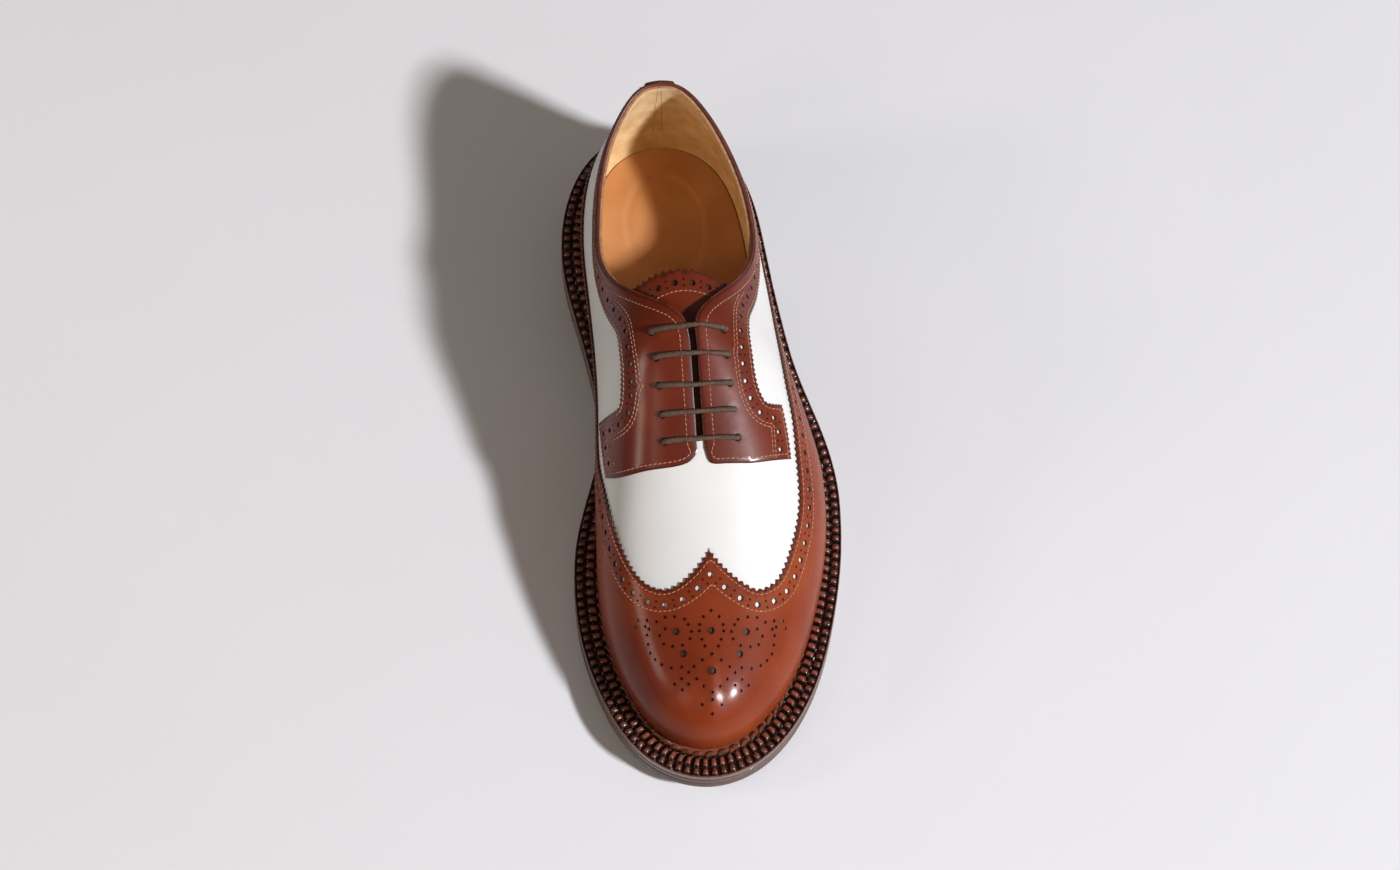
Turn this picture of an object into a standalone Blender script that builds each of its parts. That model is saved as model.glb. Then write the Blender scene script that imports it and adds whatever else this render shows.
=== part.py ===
# Spectator shoe, left: a longwing brogue derby on a double sole with a ridged storm welt.
# Metres, +Z up. The toe points to -Y and the outer (lateral) side is +X.
# The origin is on the floor, under the middle of the sole's outline.
#
# The shoe stands on its own last: a ring of ribs, one for each angle round the foot.
# Angle 0 is the back of the heel, 180 the tip of the toe; lateral is below 180, medial above.
# A rib climbs from the feather, where upper and welt meet, over the bulge to the top line.
# Every piece of the upper is a patch of that skin, so all of them follow the same sizes.

import bmesh
import bpy
import numpy as np
from mathutils import Matrix, Vector
from mathutils.geometry import delaunay_2d_cdt

NAME = "spectator_shoe"

# Driving sizes of the last
LAST_LENGTH = 0.290
BALL_WIDTH = 0.100
HEEL_WIDTH = 0.0765
COLLAR_RISE = 0.0609
INSTEP_RISE = 0.0846
TOE_RISE = 0.0380
HEEL_HEIGHT = 0.0245
TOE_SPRING = 0.0095

# Sole
OUTSOLE_THICKNESS = 0.0042
MIDSOLE_THICKNESS = 0.0035
WELT_THICKNESS = 0.0030
WELT_REACH = 0.0132
WELT_SEAT = 0.0026
RIDGE_COUNT = 3
RIDGE_PITCH = 0.0039
RIDGE_CROWN = 0.0017
RIDGE_RISE = 0.0016
RIDGE_EDGE = 0.0004
INSOLE_RISE = 0.0029
HEEL_LENGTH = 0.0685
TOP_LIFT_THICKNESS = 0.0070
HEEL_SETBACK = 0.0010
HEEL_TAPER = 0.0016
FLAT_ALLOWANCE = 0.0001

# Upper, overlays, tongue and lace
UPPER_WALL = 0.0020
OVERLAY_LIFT = 0.0008
OVERLAY_THICKNESS = 0.0010
OVERLAY_START = 0.0020
OVERLAY_CLIMB = 0.6
TONGUE_THICKNESS = 0.0020
LACE_RADIUS = 0.0012
LACE_CLEARANCE = 0.0007
LACE_SHOULDER = 0.0014
LACE_SIDESTEP = 0.045
LACE_EDGE_SHARE = 0.992
EYELET_RADIUS = 0.0023
EYELET_SIDES = 8
CLEARANCE = 0.0003
SEAM_MERGE = 0.00002

# Rib angles round the shoe: close together where the collar dips and the throat opens
RIB_STEPS = ((0, 48, 6), (48, 78, 5), (78, 102, 3), (102, 132, 5), (132, 180, 6))
SHARES = (0.0, 0.05, 0.13, 0.24, 0.37, 0.50, 0.62, 0.73, 0.83, 0.92, 1.0)
SOLE_STEP = 5

# Half widths of the bulge, from heel to toe, as shares of the last's width there
GIRTH_COLUMNS = ("station", "lateral", "medial")
GIRTH = (
    (0.00, 0.915, 0.915),
    (0.05, 0.824, 0.810),
    (0.12, 0.719, 0.697),
    (0.20, 0.635, 0.608),
    (0.30, 0.586, 0.514),
    (0.40, 0.546, 0.431),
    (0.50, 0.561, 0.392),
    (0.60, 0.594, 0.405),
    (0.70, 0.612, 0.447),
    (0.80, 0.612, 0.497),
    (0.90, 0.612, 0.530),
    (1.00, 0.590, 0.590),
)
WIDTH_BLEND = (0.25, 0.60)
REAR_SWAY = 0.005
TOE_SWAY = -0.015

# Underside of the outsole: how much of the heel's height and of the toe spring each station has
SOLE_COLUMNS = ("station", "heel", "spring")
SOLE = (
    (-0.036, 1.000, 0.000),
    (0.102, 0.988, 0.000),
    (0.240, 0.918, 0.000),
    (0.343, 0.653, 0.000),
    (0.447, 0.306, 0.000),
    (0.533, 0.082, 0.000),
    (0.602, 0.002, 0.000),
    (0.671, 0.000, 0.000),
    (0.750, 0.000, 0.002),
    (0.826, 0.000, 0.126),
    (0.895, 0.000, 0.337),
    (0.964, 0.000, 0.632),
    (1.047, 0.000, 1.000),
)

# Lower part of each side, by rib angle: height of the bulge over the feather (share of COLLAR_RISE),
# how far the feather is tucked in (share of BALL_WIDTH), how far the sole reaches out (of WELT_REACH)
SIDE_COLUMNS = ("rib", "bulge", "tuck", "reach")
LATERAL_SIDE = (
    (0, 0.213, 0.030, 0.621),
    (30, 0.213, 0.030, 0.470),
    (60, 0.213, 0.030, 0.424),
    (75, 0.213, 0.032, 0.545),
    (90, 0.213, 0.030, 0.727),
    (105, 0.197, 0.024, 0.667),
    (120, 0.181, 0.020, 0.674),
    (140, 0.148, 0.019, 0.795),
    (160, 0.131, 0.018, 0.955),
    (180, 0.131, 0.018, 1.000),
)
MEDIAL_SIDE = (
    (0, 0.213, 0.030, 0.621),
    (30, 0.213, 0.030, 0.652),
    (60, 0.246, 0.034, 0.636),
    (75, 0.361, 0.060, 0.167),
    (90, 0.394, 0.075, 0.030),
    (105, 0.279, 0.040, 0.682),
    (120, 0.197, 0.024, 0.833),
    (140, 0.148, 0.020, 0.848),
    (160, 0.131, 0.018, 0.924),
    (180, 0.131, 0.018, 1.000),
)

# Top line, by rib angle: place along (share of LAST_LENGTH) and across (share of the width there),
# rise over the feather (share of the rise named with the table), dive of the rib's end in degrees,
# and how long the rib's curve holds its direction at the bulge and at the top line
TOP_COLUMNS = ("rib", "along", "across", "rise", "dive", "low", "high")
LATERAL_COLLAR = (
    (0, 0.0207, 0.0065, 1.0027, 84, 0.45, 0.30),
    (15, 0.0276, 0.1176, 0.9948, 84, 0.45, 0.30),
    (30, 0.0603, 0.2379, 0.9500, 84, 0.45, 0.30),
    (40, 0.1017, 0.3268, 0.8900, 83, 0.45, 0.30),
    (50, 0.1586, 0.4118, 0.8095, 82, 0.45, 0.30),
    (60, 0.2224, 0.4601, 0.7605, 80, 0.40, 0.30),
    (70, 0.2948, 0.4423, 0.8350, 72, 0.38, 0.33),
)
LATERAL_THROAT = (
    (76, 0.3362, 0.3684, 0.7016, 60, 0.36, 0.38),
    (82, 0.3776, 0.2452, 0.8419, 42, 0.32, 0.42),
    (87, 0.4103, 0.1325, 0.9476, 22, 0.30, 0.45),
    (92, 0.4431, 0.0622, 1.0004, 6, 0.34, 0.47),
    (97, 0.4810, 0.0534, 0.9802, 0, 0.42, 0.50),
    (103, 0.5293, 0.0513, 0.9307, 0, 0.50, 0.53),
    (109, 0.5776, 0.0501, 0.8617, 0, 0.55, 0.56),
    (114, 0.6190, 0.0500, 0.7931, 0, 0.55, 0.57),
)
MEDIAL_COLLAR = (
    (0, 0.0207, 0.0065, 1.0027, 84, 0.45, 0.30),
    (15, 0.0276, -0.1046, 0.9948, 84, 0.45, 0.30),
    (30, 0.0603, -0.2222, 0.9418, 84, 0.45, 0.30),
    (40, 0.1017, -0.3085, 0.8736, 83, 0.45, 0.30),
    (50, 0.1586, -0.3752, 0.7931, 82, 0.45, 0.30),
    (60, 0.2224, -0.4105, 0.7605, 80, 0.45, 0.30),
    (70, 0.2879, -0.4141, 0.8359, 72, 0.45, 0.33),
)
MEDIAL_THROAT = (
    (76, 0.3293, -0.3644, 0.6953, 60, 0.48, 0.38),
    (82, 0.3672, -0.2602, 0.8140, 42, 0.52, 0.45),
    (87, 0.4017, -0.1280, 0.9273, 22, 0.55, 0.50),
    (92, 0.4379, -0.0056, 0.9955, 6, 0.55, 0.52),
    (97, 0.4810, 0.0213, 0.9802, 0, 0.55, 0.54),
    (103, 0.5293, 0.0205, 0.9307, 0, 0.55, 0.55),
    (109, 0.5776, 0.0201, 0.8617, 0, 0.55, 0.56),
    (114, 0.6190, 0.0220, 0.7931, 0, 0.55, 0.57),
)
RIDGE = (
    (120, 0.6569, 0.0400, 1.6263, 0, 0.55, 0.58),
    (130, 0.7190, 0.0420, 1.4262, 0, 0.55, 0.60),
    (140, 0.7776, 0.0380, 1.2643, 0, 0.55, 0.62),
    (150, 0.8259, 0.0300, 1.1421, 0, 0.56, 0.63),
    (160, 0.8603, 0.0240, 1.0610, 0, 0.57, 0.64),
    (170, 0.8810, 0.0200, 1.0152, 0, 0.58, 0.65),
    (180, 0.8879, 0.0180, 0.9985, 0, 0.58, 0.65),
)

# Tongue, from its free end to where it is sewn in: along and crest as on the top line,
# across, half width and the fall of its edges as shares of BALL_WIDTH
TONGUE_COLUMNS = ("along", "across", "crest", "half", "fall")
TONGUE = (
    (0.3483, 0.000, 0.8768, 0.200, 0.090),
    (0.3707, 0.010, 0.8938, 0.215, 0.115),
    (0.4017, 0.025, 0.9103, 0.230, 0.135),
    (0.4259, 0.032, 0.9174, 0.240, 0.135),
    (0.4466, 0.035, 0.9274, 0.245, 0.135),
    (0.4810, 0.035, 0.9077, 0.250, 0.120),
    (0.5155, 0.035, 0.8748, 0.250, 0.090),
    (0.5500, 0.035, 0.8329, 0.250, 0.080),
    (0.5845, 0.035, 0.7826, 0.240, 0.074),
    (0.6190, 0.035, 0.7253, 0.220, 0.062),
    (0.6431, 0.035, 0.6875, 0.190, 0.050),
)

# Eyelets, from the top row down: rib angle and share of the rib on each side
EYELET_COLUMNS = ("lateral_rib", "lateral_share", "medial_rib", "medial_share")
EYELETS = (
    (91.4, 0.901, 90.6, 0.892),
    (95.7, 0.878, 94.5, 0.856),
    (100.3, 0.870, 98.9, 0.842),
    (104.4, 0.858, 103.7, 0.840),
    (108.7, 0.842, 108.1, 0.834),
)
# The lace's way through them, from one hidden end to the other: side, row
LACE_WAY = ((-1, 0), (1, 0), (1, 2), (-1, 2), (-1, 4), (1, 4), (1, 3), (-1, 3), (-1, 1), (1, 1))

# Outlines of the overlays as rib angle and share; each run is a smooth curve, runs meet at corners
LATERAL_FACING = (
    ((10.1, 0.994), (40, 0.994), (70, 0.994), (92, 0.994), (113.6, 0.994)),
    ((113.6, 0.994), (115.1, 0.970), (114.2, 0.903), (112.5, 0.815), (110.9, 0.740), (106.3, 0.556)),
    ((106.3, 0.556), (101.8, 0.567), (97.3, 0.581)),
    ((97.3, 0.581), (99.3, 0.674), (98.9, 0.706), (96.8, 0.730), (91.9, 0.748), (86.6, 0.785),
     (83.1, 0.800), (78.2, 0.795), (70.0, 0.800), (58.0, 0.800), (40, 0.820), (10.1, 0.850)),
)
MEDIAL_FACING = (
    ((10.1, 0.994), (40, 0.994), (70, 0.994), (92, 0.994), (113.6, 0.994)),
    ((113.6, 0.994), (114.1, 0.925), (112.0, 0.807), (109.6, 0.695), (106.8, 0.560), (103.3, 0.428)),
    ((103.3, 0.428), (98.5, 0.404), (91.9, 0.377)),
    ((91.9, 0.377), (94.1, 0.508), (95.4, 0.591), (94.9, 0.621), (92.8, 0.650), (90.6, 0.684),
     (87.3, 0.735), (84.4, 0.775), (80.0, 0.785), (72.0, 0.790), (58.0, 0.800), (40, 0.820), (10.1, 0.850)),
)
LATERAL_WING = (
    (10.1, 0.340), (30, 0.340), (50, 0.375), (66, 0.430), (76, 0.470), (86.7, 0.498), (96, 0.505),
    (103, 0.522), (108.8, 0.513), (113.4, 0.500), (120, 0.508), (127.7, 0.544), (132, 0.594),
    (135.1, 0.665), (136.1, 0.732), (136.4, 0.809), (136, 0.899), (135.2, 0.960), (134.4, 1.0),
)
MEDIAL_WING = (
    (10.1, 0.340), (30, 0.330), (52, 0.310), (70, 0.280), (84, 0.270), (92, 0.290), (98, 0.335),
    (103.9, 0.396), (108.7, 0.434), (113.5, 0.466), (118, 0.490), (124.7, 0.533), (130.2, 0.595),
    (133.8, 0.671), (135.3, 0.735), (136, 0.805), (135.9, 0.893), (135.1, 0.961), (134.4, 1.0),
)
HEEL_STRIP = (
    ((-9.3, 0.994), (9.3, 0.994)),
    ((9.3, 0.994), (8.0, 0.860), (6.2, 0.600), (6.6, 0.300), (9.0, 0.050)),
    ((9.0, 0.050), (-9.0, 0.050)),
    ((-9.0, 0.050), (-6.6, 0.300), (-6.2, 0.600), (-8.0, 0.860), (-9.3, 0.994)),
)
CURVE_POINTS = 2
PATCH_RIB_LENGTH = 90.0

# Finishes: base colour as linear RGB, roughness
FINISHES = {
    "white_calf": ((0.80, 0.79, 0.76), 0.42),
    "chestnut_calf": ((0.16, 0.028, 0.012), 0.28),
    "dark_edge_leather": ((0.035, 0.022, 0.018), 0.45),
    "sole_leather": ((0.09, 0.06, 0.045), 0.60),
    "welt_leather": ((0.05, 0.018, 0.010), 0.40),
    "tan_lining": ((0.42, 0.24, 0.10), 0.60),
    "rubber": ((0.03, 0.028, 0.026), 0.80),
    "waxed_cotton": ((0.045, 0.034, 0.030), 0.75),
}


# Smooth curves through the tables

def spline(xs, ys):
    """Natural cubic spline through a table's rows; returns it as a function."""
    xs, ys = np.asarray(xs, float), np.asarray(ys, float)
    count, step = len(xs), np.diff(xs)
    system, right = np.eye(len(xs)), np.zeros(len(xs))
    for i in range(1, count - 1):
        system[i, i - 1:i + 2] = step[i - 1], 2 * (step[i - 1] + step[i]), step[i]
        right[i] = 6 * ((ys[i + 1] - ys[i]) / step[i] - (ys[i] - ys[i - 1]) / step[i - 1])
    bend = np.linalg.solve(system, right)

    def curve(x):
        x = np.clip(np.asarray(x, float), xs[0], xs[-1])
        i = np.clip(np.searchsorted(xs, x, side="right") - 1, 0, count - 2)
        after, before, h = x - xs[i], xs[i + 1] - x, step[i]
        cubic = (bend[i] * before**3 + bend[i + 1] * after**3) / (6 * h)
        low = (ys[i] / h - bend[i] * h / 6) * before
        return cubic + low + (ys[i + 1] / h - bend[i + 1] * h / 6) * after

    return curve


def curves(names, rows):
    """One smooth curve for each named column, over the first column."""
    data = np.array(rows, float)
    return {name: spline(data[:, 0], data[:, i]) for i, name in enumerate(names) if i}


def ease(x):
    x = np.clip(x, 0.0, 1.0)
    return 3 * x**2 - 2 * x**3


def bezier(a, b, c, d, u):
    u = u[:, None]
    return a * (1 - u)**3 + 3 * b * u * (1 - u)**2 + 3 * c * u**2 * (1 - u) + d * u**3


def unit(v):
    return v / np.maximum(np.linalg.norm(v, axis=-1, keepdims=True), 1e-12)


# Plan of the last and heights of the sole

GIRTH_CURVES = curves(GIRTH_COLUMNS, GIRTH)
SOLE_CURVES = curves(SOLE_COLUMNS, SOLE)
SIDE_CURVES = {1: curves(SIDE_COLUMNS, LATERAL_SIDE), -1: curves(SIDE_COLUMNS, MEDIAL_SIDE)}


def width_at(station):
    """Width of the last at a station: the heel's behind, the ball's ahead."""
    low, high = WIDTH_BLEND
    return HEEL_WIDTH + (BALL_WIDTH - HEEL_WIDTH) * ease((station - low) / (high - low))


def sole_low(along):
    station = along / LAST_LENGTH
    height = HEEL_HEIGHT * SOLE_CURVES["heel"](station) + TOE_SPRING * SOLE_CURVES["spring"](station)
    return np.maximum(height - FLAT_ALLOWANCE, 0.0)


def midsole_low(along):
    return sole_low(along) + OUTSOLE_THICKNESS + CLEARANCE


def welt_low(along):
    return midsole_low(along) + MIDSOLE_THICKNESS + CLEARANCE


def feather_height(along):
    return welt_low(along) + WELT_THICKNESS + CLEARANCE


def both_sides(read, rib):
    """Read a value for each rib from its own side's table; read(side, angle)."""
    rib = np.mod(np.asarray(rib, float), 360.0)
    lateral = rib <= 180
    angle = np.where(lateral, rib, 360 - rib)
    return np.where(lateral, read(1, angle), read(-1, angle))


def side_value(name, rib):
    return both_sides(lambda side, angle: SIDE_CURVES[side][name](angle), rib)


def bulge_line(rib):
    """Widest line of the upper seen from above: across, along."""
    rib = np.mod(np.asarray(rib, float), 360.0)
    angle = np.where(rib <= 180, rib, 360 - rib)
    station = (1 - np.cos(np.radians(angle))) / 2
    half = both_sides(lambda side, a: side * GIRTH_CURVES["lateral" if side > 0 else "medial"](
        (1 - np.cos(np.radians(a))) / 2), rib)
    sway = BALL_WIDTH * (REAR_SWAY * (1 - station) + TOE_SWAY * station**3)
    across = half * width_at(station) * np.sin(np.radians(angle)) + sway
    return np.stack([across, LAST_LENGTH * station], -1)


def outward(rib, step=0.25):
    """Level direction away from the foot at each rib."""
    run = bulge_line(np.asarray(rib) + step) - bulge_line(np.asarray(rib) - step)
    return unit(np.stack([run[..., 1], -run[..., 0]], -1))


def offset_line(rib, reach):
    return bulge_line(rib) + outward(rib) * np.asarray(reach)[..., None]


def sole_reach(rib):
    return WELT_REACH * side_value("reach", rib)


def feather_tuck(rib):
    return BALL_WIDTH * side_value("tuck", rib)


def middle_of_sole():
    """Middle of the sole's outline: this is where the origin stands."""
    ring = np.arange(0.0, 360.0, SOLE_STEP)
    line = offset_line(ring, sole_reach(ring))
    return (line.min(0) + line.max(0)) / 2


MIDDLE = middle_of_sole()


def place(points):
    """Across, along, height to the shoe's own frame."""
    points = np.asarray(points, float)
    return np.stack([points[..., 0] - MIDDLE[0], MIDDLE[1] - points[..., 1], points[..., 2]], -1)


# Skin of the upper

def top_rows(collar, throat):
    """Join the tables of one side into rows of rib, along, across, height and the rib's shape."""
    rows = []
    for part, rise in ((collar, COLLAR_RISE), (throat, INSTEP_RISE), (RIDGE, TOE_RISE)):
        for rib, station, across, share, dive, low, high in part:
            along = station * LAST_LENGTH
            height = float(feather_height(along)) + share * rise
            rows.append((rib, along, across * float(width_at(station)), height, dive, low, high))
    return rows


TOP_NAMES = tuple("height" if name == "rise" else name for name in TOP_COLUMNS)
LATERAL_TOP = top_rows(LATERAL_COLLAR, LATERAL_THROAT)
MEDIAL_TOP = top_rows(MEDIAL_COLLAR, MEDIAL_THROAT)
TOP_CURVES = {1: curves(TOP_NAMES, LATERAL_TOP), -1: curves(TOP_NAMES, MEDIAL_TOP)}
THROAT_TOP_RIB = 92
RIDGE_ROWS = [(row[1], row[3]) for row in LATERAL_TOP if row[0] >= THROAT_TOP_RIB]
RIDGE_LINE = spline([row[0] for row in RIDGE_ROWS], [row[1] for row in RIDGE_ROWS])


def top_value(name, rib):
    """A value of the top line; past the throat both sides share one ridge."""
    def read(side, angle):
        shared = (TOP_CURVES[1][name](angle) + TOP_CURVES[-1][name](angle)) / 2
        return np.where(angle >= RIDGE[0][0], shared, TOP_CURVES[side][name](angle))

    return both_sides(read, rib)


def ridge_slope(along, step=0.001):
    """Slope of the line down the instep, so that ribs arrive flat against it."""
    slope = (RIDGE_LINE(along + step) - RIDGE_LINE(along - step)) / (2 * step)
    return np.where(along > RIDGE_ROWS[0][0], slope, 0.0)


def rib_points(rib):
    """Control points of each rib: feather, two handles, bulge, two handles, top line."""
    bulge_rise = COLLAR_RISE * side_value("bulge", rib)
    flat_feather = offset_line(rib, -feather_tuck(rib))
    flat_bulge = bulge_line(rib)
    feather = np.concatenate([flat_feather, feather_height(flat_feather[:, 1])[:, None]], 1)
    level = feather_height(flat_bulge[:, 1]) + bulge_rise
    bulge = np.concatenate([flat_bulge, level[:, None]], 1)
    top = np.stack([top_value(name, rib) for name in ("across", "along", "height")], -1)
    dive = np.radians(top_value("dive", rib))
    away = bulge[:, :2] - top[:, :2]
    distance = np.linalg.norm(away, axis=1)
    away = away / distance[:, None]
    drop = top[:, 2] - bulge[:, 2]
    length = top_value("high", rib) * (distance * np.cos(dive) + drop * np.sin(dive))
    sink = np.cos(dive) * ridge_slope(top[:, 1]) * away[:, 1] - np.sin(dive)
    heading = np.concatenate([away * np.cos(dive)[:, None], sink[:, None]], 1)
    top_handle = top + heading * length[:, None]
    rise_handle = bulge + np.outer(top_value("low", rib) * drop, (0, 0, 1))
    fall_handle = bulge - np.outer(0.5 * bulge_rise, (0, 0, 1))
    feather_handle = feather + (bulge - feather) * (0.75, 0.75, 0.25)
    return feather, feather_handle, fall_handle, bulge, rise_handle, top_handle, top


def rib_curves(rib):
    """Each rib as a fine line of points, with the length run so far at each of them."""
    lines = []
    for points in zip(*rib_points(rib)):
        low = bezier(*points[:4], np.linspace(0, 1, 9))
        high = bezier(*points[3:], np.linspace(0, 1, 41))
        lines.append(np.concatenate([low, high[1:]]))
    lines = np.array(lines)
    run = np.cumsum(np.linalg.norm(np.diff(lines, axis=1), axis=2), axis=1)
    return lines, np.concatenate([np.zeros((len(lines), 1)), run], 1)


def surface(rib, share):
    """Points on the skin, at a share of each rib's own length from feather to top line."""
    rib, share = np.broadcast_arrays(np.asarray(rib, float), np.asarray(share, float))
    shape = rib.shape
    flat_rib, which = np.unique(rib.ravel(), return_inverse=True)
    lines, run = rib_curves(flat_rib)
    found = np.empty((rib.size, 3))
    for k, (i, s) in enumerate(zip(which.ravel(), share.ravel())):
        want = s * run[i, -1]
        found[k] = [np.interp(want, run[i], lines[i, :, axis]) for axis in range(3)]
    return place(found).reshape(*shape, 3)


def rib_length(rib):
    return rib_curves(np.atleast_1d(np.asarray(rib, float)))[1][:, -1]


def skin(rib, share, lift=0.0):
    """Points a given lift outside the skin."""
    rib, share = np.broadcast_arrays(np.asarray(rib, float), np.asarray(share, float))
    round_step, rise_step = 0.4, 0.006
    level = np.clip(share, rise_step, 1 - 2 * rise_step)
    forward = surface(rib + round_step, level) - surface(rib - round_step, level)
    upward = surface(rib, level + rise_step) - surface(rib, level - rise_step)
    normal = unit(np.cross(upward, forward))
    return surface(rib, share) + normal * lift


def ring_of_ribs():
    """Rib angles of the whole ring, the same on both sides."""
    side = [a for start, stop, step in RIB_STEPS for a in range(start, stop, step)]
    return np.array(side + [180] + [360 - a for a in side[:0:-1]], float)


# Helpers for objects

def material(name):
    found = bpy.data.materials.get(name) or bpy.data.materials.new(name)
    found.use_nodes = True
    colour, roughness = FINISHES[name]
    shader = found.node_tree.nodes["Principled BSDF"]
    shader.inputs["Base Color"].default_value = (*colour, 1)
    shader.inputs["Roughness"].default_value = roughness
    shader.inputs["Metallic"].default_value = 0.0
    found.diffuse_color = (*colour, 1)
    return found


def add_object(name, data, finish, collection):
    thing = bpy.data.objects.new(name, data)
    data.materials.append(material(finish))
    collection.objects.link(thing)
    return thing


def mesh_from(name, points, faces):
    mesh = bpy.data.meshes.new(name)
    mesh.from_pydata([tuple(p) for p in points], [], faces)
    mesh.shade_smooth()
    mesh.set_sharp_from_angle(angle=np.radians(40))
    return mesh


def weld(mesh):
    """Join the points that the two sides share along the ridge."""
    work = bmesh.new()
    work.from_mesh(mesh)
    bmesh.ops.remove_doubles(work, verts=work.verts, dist=10 * SEAM_MERGE)
    bmesh.ops.dissolve_degenerate(work, edges=work.edges, dist=SEAM_MERGE)
    work.to_mesh(mesh)
    work.free()
    return mesh


def thicken(thing, thickness, side):
    """Give an open sheet its wall: side 1 outside the sheet, -1 inside."""
    wall = thing.modifiers.new("Wall", "SOLIDIFY")
    wall.thickness = thickness
    wall.offset = side
    wall.use_even_offset = side < 0


def cut(thing, cutter):
    boolean = thing.modifiers.new("Cut", "BOOLEAN")
    boolean.operation = "DIFFERENCE"
    boolean.solver = "EXACT"
    boolean.object = cutter


# Sole, heel and insole

def slab(name, angles, reaches, heights):
    """A layer across the foot: reaches and heights are functions for its lower and upper face."""
    rings = []
    for reach, height in zip(reaches, heights):
        for side in (1, -1):
            rib = angles if side > 0 else 360 - angles
            line = offset_line(rib, reach(rib))
            rings.append(place(np.concatenate([line, height(line[:, 1])[:, None]], 1)))
    count = len(angles)
    points = np.concatenate(rings)
    low_lateral, low_medial, high_lateral, high_medial = (k * count for k in range(4))
    faces = []
    for i in range(count - 1):
        j = i + 1
        faces.append((low_lateral + i, low_medial + i, low_medial + j, low_lateral + j))
        faces.append((high_lateral + i, high_lateral + j, high_medial + j, high_medial + i))
        faces.append((low_lateral + i, low_lateral + j, high_lateral + j, high_lateral + i))
        faces.append((low_medial + j, low_medial + i, high_medial + i, high_medial + j))
    last = count - 1
    if angles[-1] < 180:
        faces.append((low_lateral + last, low_medial + last, high_medial + last, high_lateral + last))
    mesh = weld(mesh_from(name, points, faces))
    mesh.flip_normals()
    return mesh


def make_sole(parts):
    whole = np.arange(0.0, 180.1, SOLE_STEP)

    def outsole_top(along):
        return sole_low(along) + OUTSOLE_THICKNESS

    def midsole_top(along):
        return midsole_low(along) + MIDSOLE_THICKNESS

    outsole = slab("outsole", whole, (sole_reach, sole_reach), (sole_low, outsole_top))
    midsole = slab("midsole", whole, (sole_reach, sole_reach), (midsole_low, midsole_top))
    add_object("outsole", outsole, "sole_leather", parts)
    add_object("midsole", midsole, "dark_edge_leather", parts)


def angle_at(along):
    """Rib angle whose bulge lies at a place along the last."""
    return float(np.degrees(np.arccos(1 - 2 * along / LAST_LENGTH)))


def make_heel(parts):
    angles = np.linspace(0.0, angle_at(HEEL_LENGTH), 15)
    stack_low = TOP_LIFT_THICKNESS + CLEARANCE

    def inset(amount):
        return lambda rib: sole_reach(rib) - HEEL_SETBACK - amount

    def level(height):
        return lambda along: np.full_like(along, height)

    joint = HEEL_TAPER * (1 - TOP_LIFT_THICKNESS / HEEL_HEIGHT)
    lift = slab("heel_top_lift", angles, (inset(HEEL_TAPER), inset(joint)),
                (level(0.0), level(TOP_LIFT_THICKNESS)))
    stack = slab("heel_stack", angles, (inset(joint), inset(0.0)),
                 (level(stack_low), lambda along: sole_low(along) - CLEARANCE))
    add_object("heel_top_lift", lift, "rubber", parts)
    add_object("heel_stack", stack, "dark_edge_leather", parts)


def make_insole(parts):
    whole = np.arange(0.0, 180.1, SOLE_STEP)

    def edge(rib):
        return -feather_tuck(rib) - WELT_SEAT - CLEARANCE

    def top(along):
        return feather_height(along) + INSOLE_RISE

    add_object("insole", slab("insole", whole, (edge, edge), (welt_low, top)), "tan_lining", parts)


def welt_section(width):
    """Section of the welt, from its outer lower corner: distance inward, height."""
    squeeze = min(1.0, (width - WELT_SEAT) / (RIDGE_EDGE + RIDGE_PITCH * RIDGE_COUNT))
    points = [(0.0, 0.0), (0.0, WELT_THICKNESS)]
    for k in range(RIDGE_COUNT):
        valley = (RIDGE_EDGE + RIDGE_PITCH * k) * squeeze
        centre = valley + RIDGE_PITCH / 2 * squeeze
        room = width - WELT_SEAT - centre
        rise = RIDGE_RISE * float(ease((room - RIDGE_PITCH / 2) / RIDGE_RISE))
        points.append((valley, WELT_THICKNESS))
        points.append((centre - RIDGE_CROWN / 2, WELT_THICKNESS + rise))
        points.append((centre + RIDGE_CROWN / 2, WELT_THICKNESS + rise))
    points.append(((RIDGE_EDGE + RIDGE_PITCH * RIDGE_COUNT) * squeeze, WELT_THICKNESS))
    points += [(width, WELT_THICKNESS), (width, 0.0)]
    return points


def make_welt(parts):
    ribs = np.arange(0.0, 360.0, SOLE_STEP)
    reach = sole_reach(ribs)
    widths = reach + feather_tuck(ribs) + WELT_SEAT
    rows = []
    for rib, start, width in zip(ribs, reach, widths):
        section = np.array(welt_section(width))
        line = offset_line(np.full(len(section), rib), start - section[:, 0])
        rows.append(np.column_stack([line, welt_low(line[:, 1]) + section[:, 1]]))
    size = len(rows[0])
    faces = []
    for i in range(len(rows)):
        after = (i + 1) % len(rows)
        for j in range(size):
            up = (j + 1) % size
            faces.append((i * size + j, i * size + up, after * size + up, after * size + j))
    mesh = mesh_from("welt", place(np.concatenate(rows)), faces)
    add_object("welt", mesh, "welt_leather", parts)


# Upper and overlays

def make_upper(parts):
    ribs, shares = ring_of_ribs(), np.array(SHARES)
    points = surface(ribs[:, None], shares[None, :]).reshape(-1, 3)
    size, faces = len(shares), []
    for i in range(len(ribs)):
        after = (i + 1) % len(ribs)
        for j in range(size - 1):
            faces.append((i * size + j, i * size + j + 1, after * size + j + 1, after * size + j))
    upper = add_object("upper", weld(mesh_from("upper", points, faces)), "white_calf", parts)
    thicken(upper, UPPER_WALL, -1)
    return upper


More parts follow.
